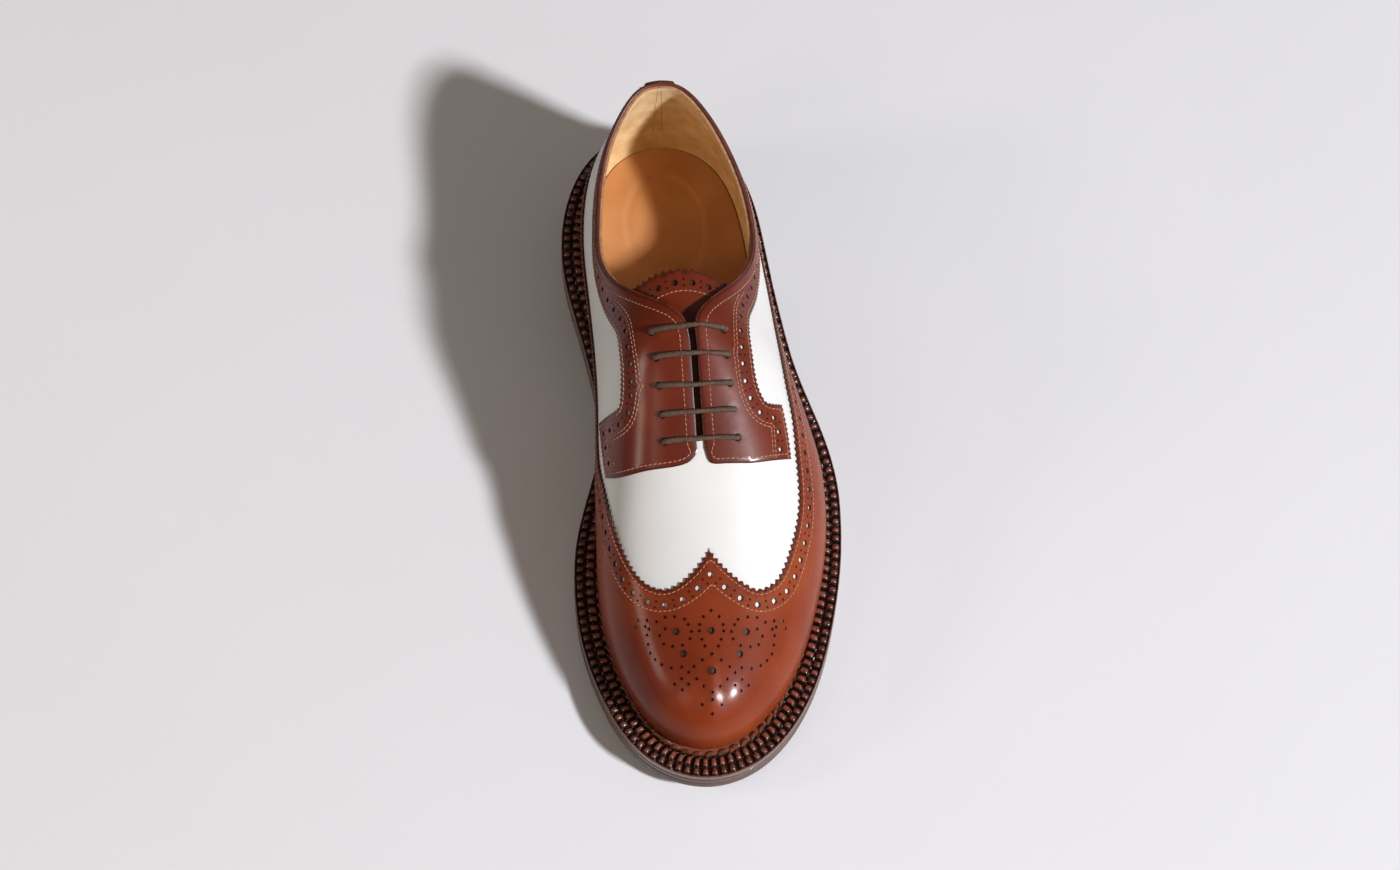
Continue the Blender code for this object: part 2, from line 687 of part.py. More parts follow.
def run_curve(points, pieces):
    """Smooth curve through a run of an outline."""
    points = np.array(points, float)
    if len(points) == 2:
        return points
    place_on_run = np.arange(len(points), dtype=float)
    fine = np.linspace(0, len(points) - 1, (len(points) - 1) * pieces + 1)
    return np.column_stack([spline(place_on_run, points[:, axis])(fine) for axis in (0, 1)])


def closed_outline(runs, pieces=CURVE_POINTS):
    return np.concatenate([run_curve(run, pieces)[:-1] for run in runs])


def inside(points, outline):
    """Which points lie inside a closed outline."""
    x, y = points[:, 0][:, None], points[:, 1][:, None]
    ax, ay = outline[:, 0], outline[:, 1]
    bx, by = np.roll(ax, -1), np.roll(ay, -1)
    crosses = (ay > y) != (by > y)
    at = ax + (y - ay) * (bx - ax) / np.where(by == ay, 1.0, by - ay)
    return (crosses & (x < at)).sum(1) % 2 == 1


def patch(name, outline, finish, parts):
    """An overlay: a piece of skin inside an outline of rib angle and share, lifted off the upper.

    The upper's own ribs and rows are laid over the outline, so that the overlay bends where
    the upper bends and the gap between them stays even.
    """
    stretch = np.array([1.0, PATCH_RIB_LENGTH])
    border = outline * stretch
    count = len(border)
    points = [tuple(p) for p in border]
    edges = [(i, (i + 1) % count) for i in range(count)]
    low, high = outline.min(0) - 0.01, outline.max(0) + 0.01
    ring = ring_of_ribs()
    ring = np.concatenate([ring - 360, ring])
    across = [((low[0], s), (high[0], s)) for s in SHARES if low[1] < s < high[1]]
    upward = [((a, low[1]), (a, high[1])) for a in ring if low[0] < a < high[0]]
    for start, end in across + upward:
        edges.append((len(points), len(points) + 1))
        points += [tuple(start * stretch), tuple(end * stretch)]
    flat, _, triangles, _, _, _ = delaunay_2d_cdt([Vector(p) for p in points], edges, [], 0, 1e-4)
    flat = np.array([tuple(p) for p in flat])
    triangles = np.array([tuple(t) for t in triangles])
    triangles = triangles[inside(flat[triangles].mean(1), border)]
    used, triangles = np.unique(triangles, return_inverse=True)
    flat = flat[used] / stretch
    solid = skin(flat[:, 0], np.clip(flat[:, 1], 0, 1), OVERLAY_LIFT)
    faces = [tuple(int(i) for i in t[::-1]) for t in triangles.reshape(-1, 3)]
    thing = add_object(name, weld(mesh_from(name, solid, faces)), finish, parts)
    thicken(thing, OVERLAY_THICKNESS, 1)
    return thing


def on_side(runs, side):
    """An outline given for the lateral side, moved to the side wanted."""
    return [[(a if side > 0 else 360 - a, s) for a, s in run] for run in runs]


def wing_outline():
    """Round the toe along the welt, back along the wings, and over the ridge in the middle."""
    ring = ring_of_ribs()
    start, stop = LATERAL_WING[0][0], 360 - MEDIAL_WING[0][0]
    low_ribs = np.concatenate([[start], ring[(ring > start) & (ring < stop)], [stop]])
    start_height = OVERLAY_START + OVERLAY_CLIMB * feather_tuck(low_ribs)
    low = np.column_stack([low_ribs, start_height / rib_length(low_ribs)])
    medial = run_curve([(360 - a, s) for a, s in MEDIAL_WING], CURVE_POINTS)
    peak = LATERAL_WING[-1][0]
    seam = ring[(ring > peak + 1) & (ring < 360 - peak - 1)][::-1]
    lateral = run_curve(LATERAL_WING, CURVE_POINTS)[::-1]
    return np.concatenate([low[:-1], medial, np.column_stack([seam, np.ones(len(seam))]), lateral[:-1]])


def make_overlays(parts):
    facings = {}
    for side, name, runs in ((1, "facing_lateral", LATERAL_FACING), (-1, "facing_medial", MEDIAL_FACING)):
        outline = closed_outline(on_side(runs, side))
        facings[side] = patch(name, outline, "chestnut_calf", parts)
    patch("wing_cap", wing_outline(), "chestnut_calf", parts)
    patch("heel_strip", closed_outline(HEEL_STRIP), "chestnut_calf", parts)
    return facings


# Tongue and lace

def make_tongue(parts):
    table = curves(TONGUE_COLUMNS, TONGUE)
    stations = np.linspace(TONGUE[0][0], TONGUE[-1][0], 11)
    ways = np.linspace(-1, 1, 9)
    points = []
    for station in stations:
        along = station * LAST_LENGTH
        row = {name: float(curve(station)) for name, curve in table.items()}
        crest = float(feather_height(along)) + row["crest"] * INSTEP_RISE
        for way in ways:
            across = (row["across"] + way * row["half"]) * BALL_WIDTH
            points.append((across, along, crest - row["fall"] * BALL_WIDTH * way**2))
    size, faces = len(ways), []
    for i in range(len(stations) - 1):
        for j in range(size - 1):
            faces.append((i * size + j, (i + 1) * size + j, (i + 1) * size + j + 1, i * size + j + 1))
    mesh = mesh_from("tongue", place(points), faces)
    tongue = add_object("tongue", mesh, "chestnut_calf", parts)
    thicken(tongue, TONGUE_THICKNESS, -1)
    return tongue


def eyelet(side, row):
    """Rib angle and share of an eyelet."""
    spot = dict(zip(EYELET_COLUMNS, EYELETS[row]))
    if side > 0:
        return spot["lateral_rib"], spot["lateral_share"]
    return 360 - spot["medial_rib"], spot["medial_share"]


def make_eyelet_cutters(cutters):
    made = {1: [], -1: []}
    for side in (1, -1):
        for row in range(len(EYELETS)):
            rib, share = eyelet(side, row)
            low, high = skin(rib, share, -3 * UPPER_WALL), skin(rib, share, 3 * UPPER_WALL)
            axis = Vector(high - low)
            work = bmesh.new()
            bmesh.ops.create_cone(work, cap_ends=True, segments=EYELET_SIDES, radius1=EYELET_RADIUS,
                                  radius2=EYELET_RADIUS, depth=axis.length)
            mesh = bpy.data.meshes.new("eyelet_cutter")
            work.to_mesh(mesh)
            work.free()
            name = "eyelet_cutter_%s_%d" % ("lateral" if side > 0 else "medial", row)
            cutter = bpy.data.objects.new(name, mesh)
            turn = Vector((0, 0, 1)).rotation_difference(axis).to_matrix().to_4x4()
            cutter.matrix_world = Matrix.Translation(Vector((low + high) / 2)) @ turn
            cutter.hide_render = True
            cutter.display_type = "WIRE"
            cutters.objects.link(cutter)
            made[side].append(cutter)
    return made


def throat_edge(side, along_y):
    """Rib angle whose top line lies at a given Y, beside the throat."""
    ribs = np.linspace(88, 116, 57) if side > 0 else 360 - np.linspace(88, 116, 57)
    lines = surface(ribs, np.ones(len(ribs)))
    return float(np.interp(-along_y, -lines[:, 1], ribs))


def half_bar(side, row, across_y):
    """From an eyelet over the facing to the throat's edge, at a given Y."""
    over = OVERLAY_LIFT + OVERLAY_THICKNESS + LACE_CLEARANCE + LACE_RADIUS
    rib, share = eyelet(side, row)
    edge = throat_edge(side, across_y)
    return [
        skin(rib, share, over - LACE_SHOULDER),
        skin(rib, share, over),
        skin((rib + edge) / 2, (share + LACE_EDGE_SHARE) / 2, over),
        skin(edge, LACE_EDGE_SHARE, over),
    ]


def hidden_run(side, row, next_row):
    """From eyelet to eyelet between upper and tongue; a longer run keeps off the throat."""
    under = -(UPPER_WALL + LACE_CLEARANCE + LACE_RADIUS)
    (rib, share), (next_rib, next_share) = eyelet(side, row), eyelet(side, next_row)
    aside = LACE_SIDESTEP * abs(next_row - row) if abs(next_row - row) > 1 else 0.0
    points = [skin(rib, share, under)]
    for step in (0.3, 0.7):
        level = share + (next_share - share) * step - aside
        points.append(skin(rib + (next_rib - rib) * step, level, under))
    return points + [skin(next_rib, next_share, under)]


def lace_points():
    """The lace's centre line: bars over the facings, runs between upper and tongue."""
    under = -(UPPER_WALL + LACE_CLEARANCE + LACE_RADIUS)
    line = [skin(*eyelet(*LACE_WAY[0]), under)]
    for (side, row), (next_side, next_row) in zip(LACE_WAY, LACE_WAY[1:]):
        if side == next_side:
            line += hidden_run(side, row, next_row)
        else:
            across_y = float(skin(*eyelet(side, row))[1])
            line += half_bar(side, row, across_y) + half_bar(next_side, next_row, across_y)[::-1]
    return line + [skin(*eyelet(*LACE_WAY[-1]), under)]


def make_lace(parts):
    curve = bpy.data.curves.new("lace", "CURVE")
    curve.dimensions = "3D"
    curve.bevel_depth = LACE_RADIUS
    curve.bevel_resolution = 1
    curve.use_fill_caps = True
    points = lace_points()
    thread = curve.splines.new("POLY")
    thread.points.add(len(points) - 1)
    for spot, point in zip(thread.points, points):
        spot.co = (*point, 1)
    add_object("lace", curve, "waxed_cotton", parts)


def main():
    for thing in list(bpy.data.objects):
        bpy.data.objects.remove(thing)
    parts = bpy.data.collections.new(NAME)
    cutters = bpy.data.collections.new("cutters")
    for collection in (parts, cutters):
        bpy.context.scene.collection.children.link(collection)
    make_sole(parts)
    make_heel(parts)
    make_insole(parts)
    make_welt(parts)
    upper = make_upper(parts)
    facings = make_overlays(parts)
    make_tongue(parts)
    for side, tools in make_eyelet_cutters(cutters).items():
        for tool in tools:
            cut(upper, tool)
            cut(facings[side], tool)
    make_lace(parts)


if __name__ == "__main__":
    main()
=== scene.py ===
# Spectator shoe, left: what every surface looks like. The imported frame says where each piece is.
# Lengths are in millimetres while a piece is worked out, and in metres once it is a mesh.
import math

import bmesh
import bpy
import numpy as np
from mathutils import Matrix, Vector
from mathutils.geometry import delaunay_2d_cdt
from mathutils.kdtree import KDTree


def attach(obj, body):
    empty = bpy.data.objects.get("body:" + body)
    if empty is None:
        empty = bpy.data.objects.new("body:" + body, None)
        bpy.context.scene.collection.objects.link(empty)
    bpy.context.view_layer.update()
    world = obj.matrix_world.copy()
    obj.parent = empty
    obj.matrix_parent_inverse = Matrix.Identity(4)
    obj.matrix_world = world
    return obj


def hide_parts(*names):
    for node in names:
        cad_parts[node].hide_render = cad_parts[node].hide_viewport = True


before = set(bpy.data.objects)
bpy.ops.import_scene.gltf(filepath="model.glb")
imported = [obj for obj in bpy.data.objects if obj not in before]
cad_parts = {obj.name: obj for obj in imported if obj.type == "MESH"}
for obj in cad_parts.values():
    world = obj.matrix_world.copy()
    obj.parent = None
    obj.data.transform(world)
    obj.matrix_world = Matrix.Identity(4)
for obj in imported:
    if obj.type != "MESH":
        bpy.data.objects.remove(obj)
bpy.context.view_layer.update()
metre = 0.001  # one millimetre

print("last: tables and skin")

last = {
    "length": 290.0, "ballWidth": 100.0, "heelWidth": 76.5, "collarRise": 60.9,
    "instepRise": 84.6, "toeRise": 38.0, "heelHeight": 24.5, "toeSpring": 9.5,
    "rearSway": 0.005, "toeSway": -0.015, "widthBlend": (0.25, 0.60),
}
sole = {
    "outsole": 4.2, "midsole": 3.5, "welt": 3.0, "gap": 0.3, "reach": 13.2, "seat": 2.6,
    "insoleRise": 2.9, "heelLength": 68.5, "topLift": 7.0, "heelSetback": 1.0, "heelTaper": 1.6,
    "worn": 0.1,  # what is taken off underneath, so that heel and forefoot stand flat
}

# station, lateral and medial half width as shares of the last's width there
girth = (
    (0.00, 0.915, 0.915), (0.05, 0.824, 0.810), (0.12, 0.719, 0.697), (0.20, 0.635, 0.608),
    (0.30, 0.586, 0.514), (0.40, 0.546, 0.431), (0.50, 0.561, 0.392), (0.60, 0.594, 0.405),
    (0.70, 0.612, 0.447), (0.80, 0.612, 0.497), (0.90, 0.612, 0.530), (1.00, 0.590, 0.590),
)
# station, share of the heel's height, share of the toe spring
soleLine = (
    (-0.036, 1.000, 0.000), (0.102, 0.988, 0.000), (0.240, 0.918, 0.000), (0.343, 0.653, 0.000),
    (0.447, 0.306, 0.000), (0.533, 0.082, 0.000), (0.602, 0.002, 0.000), (0.671, 0.000, 0.000),
    (0.750, 0.000, 0.002), (0.826, 0.000, 0.126), (0.895, 0.000, 0.337), (0.964, 0.000, 0.632),
    (1.047, 0.000, 1.000),
)
# rib angle, height of the bulge, tuck of the feather, reach of the sole
lateralSide = (
    (0, 0.213, 0.030, 0.621), (30, 0.213, 0.030, 0.470), (60, 0.213, 0.030, 0.424),
    (75, 0.213, 0.032, 0.545), (90, 0.213, 0.030, 0.727), (105, 0.197, 0.024, 0.667),
    (120, 0.181, 0.020, 0.674), (140, 0.148, 0.019, 0.795), (160, 0.131, 0.018, 0.955),
    (180, 0.131, 0.018, 1.000),
)
medialSide = (
    (0, 0.213, 0.030, 0.621), (30, 0.213, 0.030, 0.652), (60, 0.246, 0.034, 0.636),
    (75, 0.361, 0.060, 0.167), (90, 0.394, 0.075, 0.030), (105, 0.279, 0.040, 0.682),
    (120, 0.197, 0.024, 0.833), (140, 0.148, 0.020, 0.848), (160, 0.131, 0.018, 0.924),
    (180, 0.131, 0.018, 1.000),
)
# rib angle, along, across, rise, dive of the rib's end, how long it holds its direction low and high
lateralCollar = (
    (0, 0.0207, 0.0065, 1.0027, 84, 0.45, 0.30), (15, 0.0276, 0.1176, 0.9948, 84, 0.45, 0.30),
    (30, 0.0603, 0.2379, 0.9500, 84, 0.45, 0.30), (40, 0.1017, 0.3268, 0.8900, 83, 0.45, 0.30),
    (50, 0.1586, 0.4118, 0.8095, 82, 0.45, 0.30), (60, 0.2224, 0.4601, 0.7605, 80, 0.40, 0.30),
    (70, 0.2948, 0.4423, 0.8350, 72, 0.38, 0.33),
)
lateralThroat = (
    (76, 0.3362, 0.3684, 0.7016, 60, 0.36, 0.38), (82, 0.3776, 0.2452, 0.8419, 42, 0.32, 0.42),
    (87, 0.4103, 0.1325, 0.9476, 22, 0.30, 0.45), (92, 0.4431, 0.0622, 1.0004, 6, 0.34, 0.47),
    (97, 0.4810, 0.0534, 0.9802, 0, 0.42, 0.50), (103, 0.5293, 0.0513, 0.9307, 0, 0.50, 0.53),
    (109, 0.5776, 0.0501, 0.8617, 0, 0.55, 0.56), (114, 0.6190, 0.0500, 0.7931, 0, 0.55, 0.57),
)
medialCollar = (
    (0, 0.0207, 0.0065, 1.0027, 84, 0.45, 0.30), (15, 0.0276, -0.1046, 0.9948, 84, 0.45, 0.30),
    (30, 0.0603, -0.2222, 0.9418, 84, 0.45, 0.30), (40, 0.1017, -0.3085, 0.8736, 83, 0.45, 0.30),
    (50, 0.1586, -0.3752, 0.7931, 82, 0.45, 0.30), (60, 0.2224, -0.4105, 0.7605, 80, 0.45, 0.30),
    (70, 0.2879, -0.4141, 0.8359, 72, 0.45, 0.33),
)
medialThroat = (
    (76, 0.3293, -0.3644, 0.6953, 60, 0.48, 0.38), (82, 0.3672, -0.2602, 0.8140, 42, 0.52, 0.45),
    (87, 0.4017, -0.1280, 0.9273, 22, 0.55, 0.50), (92, 0.4379, -0.0056, 0.9955, 6, 0.55, 0.52),
    (97, 0.4810, 0.0213, 0.9802, 0, 0.55, 0.54), (103, 0.5293, 0.0205, 0.9307, 0, 0.55, 0.55),
    (109, 0.5776, 0.0201, 0.8617, 0, 0.55, 0.56), (114, 0.6190, 0.0220, 0.7931, 0, 0.55, 0.57),
)
ridge = (
    (120, 0.6569, 0.0400, 1.6263, 0, 0.55, 0.58), (130, 0.7190, 0.0420, 1.4262, 0, 0.55, 0.60),
    (140, 0.7776, 0.0380, 1.2643, 0, 0.55, 0.62), (150, 0.8259, 0.0300, 1.1421, 0, 0.56, 0.63),
    (160, 0.8603, 0.0240, 1.0610, 0, 0.57, 0.64), (170, 0.8810, 0.0200, 1.0152, 0, 0.58, 0.65),
    (180, 0.8879, 0.0180, 0.9985, 0, 0.58, 0.65),
)


def spline(xs, ys):
    # natural cubic through a table's rows, as in the part's own source
    xs, ys = np.asarray(xs, float), np.asarray(ys, float)
    count, step = len(xs), np.diff(xs)
    system, right = np.eye(count), np.zeros(count)
    for i in range(1, count - 1):
        system[i, i - 1:i + 2] = step[i - 1], 2 * (step[i - 1] + step[i]), step[i]
        right[i] = 6 * ((ys[i + 1] - ys[i]) / step[i] - (ys[i] - ys[i - 1]) / step[i - 1])
    bend = np.linalg.solve(system, right)

    def curve(x):
        x = np.clip(np.asarray(x, float), xs[0], xs[-1])
        i = np.clip(np.searchsorted(xs, x, side="right") - 1, 0, count - 2)
        after, before, h = x - xs[i], xs[i + 1] - x, step[i]
        cubic = (bend[i] * before**3 + bend[i + 1] * after**3) / (6 * h)
        low = (ys[i] / h - bend[i] * h / 6) * before
        return cubic + low + (ys[i + 1] / h - bend[i + 1] * h / 6) * after

    return curve


def columns(rows):
    data = np.array(rows, float)
    return [spline(data[:, 0], data[:, i]) for i in range(1, data.shape[1])]


def ease(x):
    x = np.clip(x, 0.0, 1.0)
    return x * x * (3 - 2 * x)


def unit(v):
    return v / np.maximum(np.linalg.norm(v, axis=-1, keepdims=True), 1e-12)


def runOf(points):
    # how far along a line of points each of them is
    return np.concatenate([[0], np.cumsum(np.linalg.norm(np.diff(points, axis=0), axis=1))])


def turned(count):
    # angles of a ring's points
    return np.arange(count) * 2 * math.pi / count


girthCurves = columns(girth)
soleCurves = columns(soleLine)
sideCurves = {1: columns(lateralSide), -1: columns(medialSide)}


def widthAt(station):
    low, high = last["widthBlend"]
    return last["heelWidth"] + (last["ballWidth"] - last["heelWidth"]) * ease((station - low) / (high - low))


def soleLow(along):
    station = along / last["length"]
    height = last["heelHeight"] * soleCurves[0](station) + last["toeSpring"] * soleCurves[1](station)
    return np.maximum(height, sole["worn"]) - sole["worn"]


def midsoleLow(along):
    return soleLow(along) + sole["outsole"] + sole["gap"]


def weltLow(along):
    return midsoleLow(along) + sole["midsole"] + sole["gap"]


def featherHeight(along):
    return weltLow(along) + sole["welt"] + sole["gap"]


def fromHeel(rib):
    # a rib's angle from the heel's middle, the same on both sides
    return np.abs((np.asarray(rib, float) + 180) % 360 - 180)


def perSide(read, rib):
    # ribs up to 180 are lateral, those past it medial
    angle = fromHeel(rib)
    return np.where(np.mod(rib, 360.0) <= 180, read(1, angle), read(-1, angle))


def bulgeLine(rib):
    # the upper's widest outline in plan, to which everything else is offset
    angle = np.radians(fromHeel(rib))
    station = (1 - np.cos(angle)) / 2
    half = perSide(lambda side, _: side * girthCurves[0 if side > 0 else 1](station), rib)
    sway = last["ballWidth"] * (last["rearSway"] * (1 - station) + last["toeSway"] * station**3)
    across = half * widthAt(station) * np.sin(angle) + sway
    return np.stack([across, last["length"] * station], -1)


def offsetLine(rib, reach):
    run = bulgeLine(np.asarray(rib) + 0.25) - bulgeLine(np.asarray(rib) - 0.25)
    return bulgeLine(rib) + unit(np.stack([run[..., 1], -run[..., 0]], -1)) * np.asarray(reach)[..., None]


def soleReach(rib):
    return sole["reach"] * perSide(lambda side, a: sideCurves[side][2](a), rib)


def tuck(rib):
    return last["ballWidth"] * perSide(lambda side, a: sideCurves[side][1](a), rib)


cadRing = np.arange(0.0, 360.0, 5.0)
cadOutline = offsetLine(cadRing, soleReach(cadRing))
middle = (cadOutline.min(0) + cadOutline.max(0)) / 2


def inFrame(points):
    points = np.asarray(points, float)
    return np.stack([points[..., 0] - middle[0], middle[1] - points[..., 1], points[..., 2]], -1)


def topRows(collar, throat):
    rows = []
    for part, rise in ((collar, last["collarRise"]), (throat, last["instepRise"]), (ridge, last["toeRise"])):
        for rib, station, across, share, dive, low, high in part:
            along = station * last["length"]
            height = float(featherHeight(along)) + share * rise
            rows.append((rib, along, across * float(widthAt(station)), height, dive, low, high))
    return rows


topTables = {1: topRows(lateralCollar, lateralThroat), -1: topRows(medialCollar, medialThroat)}
topCurves = {side: columns(rows) for side, rows in topTables.items()}
ridgeRows = [(row[1], row[3]) for row in topTables[1] if row[0] >= 92]
ridgeCurve = spline([row[0] for row in ridgeRows], [row[1] for row in ridgeRows])


def topValue(column, rib):
    def read(side, angle):
        shared = (topCurves[1][column](angle) + topCurves[-1][column](angle)) / 2
        return np.where(angle >= ridge[0][0], shared, topCurves[side][column](angle))

    return perSide(read, rib)


def bezier(a, b, c, d, u):
    u = u[None, :, None]
    a, b, c, d = (p[:, None, :] for p in (a, b, c, d))
    return a * (1 - u)**3 + 3 * b * u * (1 - u)**2 + 3 * c * u**2 * (1 - u) + d * u**3


def ribLines(rib):
    # every rib from the feather over the bulge to the top line, as a fine line of points
    rise = last["collarRise"] * perSide(lambda side, a: sideCurves[side][0](a), rib)
    flatFeather, flatBulge = offsetLine(rib, -tuck(rib)), bulgeLine(rib)
    feather = np.column_stack([flatFeather, featherHeight(flatFeather[:, 1])])
    bulge = np.column_stack([flatBulge, featherHeight(flatBulge[:, 1]) + rise])
    top = np.column_stack([topValue(1, rib), topValue(0, rib), topValue(2, rib)])
    dive = np.radians(topValue(3, rib))
    away = bulge[:, :2] - top[:, :2]
    distance = np.linalg.norm(away, axis=1)
    away = away / distance[:, None]
    drop = top[:, 2] - bulge[:, 2]
    slope = (ridgeCurve(top[:, 1] + 1) - ridgeCurve(top[:, 1] - 1)) / 2
    slope = np.where(top[:, 1] > ridgeRows[0][0], slope, 0.0)
    level = np.cos(dive)
    hold = topValue(5, rib) * (distance * level + drop * np.sin(dive))
    heading = np.column_stack([away * level[:, None], level * slope * away[:, 1] - np.sin(dive)])
    upright = np.array([0.0, 0.0, 1.0])
    low = bezier(feather, feather + (bulge - feather) * (0.75, 0.75, 0.25),
                 bulge - np.outer(0.5 * rise, upright), bulge, np.linspace(0, 1, 17))
    high = bezier(bulge, bulge + np.outer(topValue(4, rib) * drop, upright),
                  top + heading * hold[:, None], top, np.linspace(0, 1, 81))
    return np.concatenate([low, high[:, 1:]], 1), away * (1, -1)


# The skin as a table: a rib each half degree, equal shares up each rib
skinStep, skinRows = 0.5, 160
skinRibs = np.arange(0.0, 360.1, skinStep)
fineLines, rayWay = ribLines(skinRibs)
fineRun = np.array([runOf(line) for line in fineLines])
ribLength = fineRun[:, -1]
skinPlace = np.empty((len(skinRibs), skinRows + 1, 3))
for i in range(len(skinRibs)):
    wanted = np.linspace(0, ribLength[i], skinRows + 1)
    for axis in range(3):
        skinPlace[i, :, axis] = np.interp(wanted, fineRun[i], fineLines[i, :, axis])
skinPlace = inFrame(skinPlace)


# where the instep is softened: rib angles, shares of a rib, and how gently both ends fade
instep = {"ribs": (62, 128), "ribFade": 14, "shares": (0.3, 0.99), "shareFade": (0.15, 0.1), "reach": 14}


def softened(table):
    # the instep's shoulders are rounded along the shoe, so that its ribs don't show as creases
    reach = instep["reach"]
    window = np.cos(np.linspace(-90, 90, 2 * reach + 1) * math.pi / 180)
    window /= window.sum()
    ring = np.concatenate([table[-1 - reach:-1], table, table[1:1 + reach]])
    soft = sum(w * ring[k:k + len(table)] for k, w in enumerate(window))
    share = np.linspace(0, 1, skinRows + 1)
    angle = fromHeel(skinRibs)
    (first, final), (low, high), (lowFade, highFade) = instep["ribs"], instep["shares"], instep["shareFade"]
    around = ease((angle - first) / instep["ribFade"]) * ease((final - angle) / instep["ribFade"])
    upwards = ease((share - low) / lowFade) * ease((high - share) / highFade)
    amount = around[:, None] * upwards[None]
    return table + (soft - table) * amount[..., None]


skinPlace = softened(skinPlace)


def skinNormals():
    wide = 3  # ribs to each side that a normal is taken over
    ring = skinPlace[:-1]
    around = np.roll(ring, -wide, 0) - np.roll(ring, wide, 0)
    rows = np.arange(skinRows + 1)
    upward = ring[:, np.minimum(rows + 2, skinRows)] - ring[:, np.maximum(rows - 2, 0)]
    normal = unit(np.cross(upward, around))
    for k in range(3):  # the rows at the ridge take the row below them, where ribs still spread
        normal[:, skinRows - k] = normal[:, skinRows - 3]
    first, final = int(ridge[0][0] / skinStep), int((360 - ridge[0][0]) / skinStep)
    for k, share in ((0, 0.5), (1, 0.4), (2, 0.25), (3, 0.1)):
        row = normal[first:final + 1, skinRows - k]
        normal[first:final + 1, skinRows - k] = unit(row * (1 - share) + row[::-1] * share)
    return np.concatenate([normal, normal[:1]])


skinNormal = skinNormals()

# The flat pattern of the upper: each rib is a straight ray from the top line outwards
rayStart = skinPlace[:, -1, :2]


def fannedOut(ways):
    # the rays' directions turned steadily one way round, so that no two of them cross
    turn = np.unwrap(np.arctan2(ways[:, 1], ways[:, 0]))
    turn = (np.minimum.accumulate(turn) + np.maximum.accumulate(turn[::-1])[::-1]) / 2
    trend = -2 * math.pi * skinRibs / 360
    around = (turn - trend)[:-1]
    reach = 8  # ribs to each side that a direction is averaged over
    around = np.concatenate([around[-reach:], around, around[:reach]])
    smooth = np.convolve(around, np.full(2 * reach + 1, 1 / (2 * reach + 1)), "valid")
    turn = np.append(smooth, smooth[0]) + trend
    return np.stack([np.cos(turn), np.sin(turn)], -1)


rayWay = fannedOut(rayWay)


def lookUp(table, rib, share):
    # a value of one of the skin's tables, between its rows
    rib, share = np.broadcast_arrays(rib, share)
    across = np.mod(rib, 360.0) / skinStep
    i = np.clip(across.astype(int), 0, len(skinRibs) - 2)
    f = (across - i)[:, None]
    up = np.clip(share, 0, 1) * skinRows
    j = np.clip(up.astype(int), 0, skinRows - 1)
    g = (up - j)[:, None]
    low = table[i, j] * (1 - f) + table[i + 1, j] * f
    return low * (1 - g) + (table[i, j + 1] * (1 - f) + table[i + 1, j + 1] * f) * g


def toPattern(rib, share):
    # a place on the skin, by rib angle and share of the rib's length, as a point of the flat pattern
    rib, share = np.broadcast_arrays(np.atleast_1d(np.asarray(rib, float)), np.asarray(share, float))
    across = np.mod(rib, 360.0) / skinStep
    i = np.clip(across.astype(int), 0, len(skinRibs) - 2)
    f = (across - i)[:, None]
    ends = []
    for k in (i, i + 1):
        ends.append(rayStart[k] + rayWay[k] * ((1 - share) * ribLength[k])[:, None])
    return ends[0] * (1 - f) + ends[1] * f


def fromPattern(points):
    # the way back: the rib angle and share at points of the flat pattern
    points = np.atleast_2d(points)
    rib, share = np.zeros(len(points)), np.zeros(len(points))
    for start in range(0, len(points), 2000):
        some = points[start:start + 2000]
        gap = some[:, None] - rayStart[None]
        side = gap[..., 0] * rayWay[None, :, 1] - gap[..., 1] * rayWay[None, :, 0]
        run = (gap * rayWay[None]).sum(-1)
        hit = (side[:, :-1] * side[:, 1:] <= 0) & (run[:, :-1] > -2.5) & (run[:, :-1] < ribLength[:-1] + 3)
        score = np.where(hit, run[:, :-1], -1e6)
        i = score.argmax(1)
        rows = np.arange(len(some))
        f = side[rows, i] / np.where(side[rows, i] == side[rows, i + 1], 1, side[rows, i] - side[rows, i + 1])
        f = np.clip(f, 0, 1)
        rib[start:start + 2000] = skinRibs[i] + f * skinStep
        distance = run[rows, i] * (1 - f) + run[rows, i + 1] * f
        share[start:start + 2000] = 1 - distance / (ribLength[i] * (1 - f) + ribLength[i + 1] * f)
    return rib, share


def skin(points):
    # the upper's outside as a form: places and normals at points of its flat pattern
    rib, share = fromPattern(points)
    return lookUp(skinPlace, rib, share), unit(lookUp(skinNormal, rib, share))


def planToPattern(points):
    # the pattern point under a point of the plan, on top of the toe
    points = np.atleast_2d(points)
    ribs, rows = np.arange(240, 481, 2), np.arange(40, skinRows + 1, 2)
    near = skinPlace[np.ix_(ribs, rows)].reshape(-1, 3)[:, :2]
    pick = np.linalg.norm(points[:, None] - near[None], axis=2).argmin(1)
    guess = toPattern(skinRibs[ribs[pick // len(rows)]], rows[pick % len(rows)] / skinRows)
    for _ in range(4):
        tangent = slopes(skin, guess)[:, :2]
        miss = points - skin(guess)[0][:, :2]
        guess = guess + np.linalg.solve(tangent, miss[..., None])[..., 0]
    return guess


print("helpers: lines, sheets, stitches")


def slopes(form, points, step=0.4):
    # how the surface moves with each direction of its flat pattern: 3 x 2 for each point
    across, up = np.array([step, 0.0]), np.array([0.0, step])
    a = form(points + across)[0] - form(points - across)[0]
    b = form(points + up)[0] - form(points - up)[0]
    return np.stack([a, b], -1) / (2 * step)


def moved(form, points, way):
    # pattern points moved by real millimetres along the surface
    tangent = slopes(form, points)
    return points + (np.linalg.pinv(tangent) @ way[..., None])[..., 0]


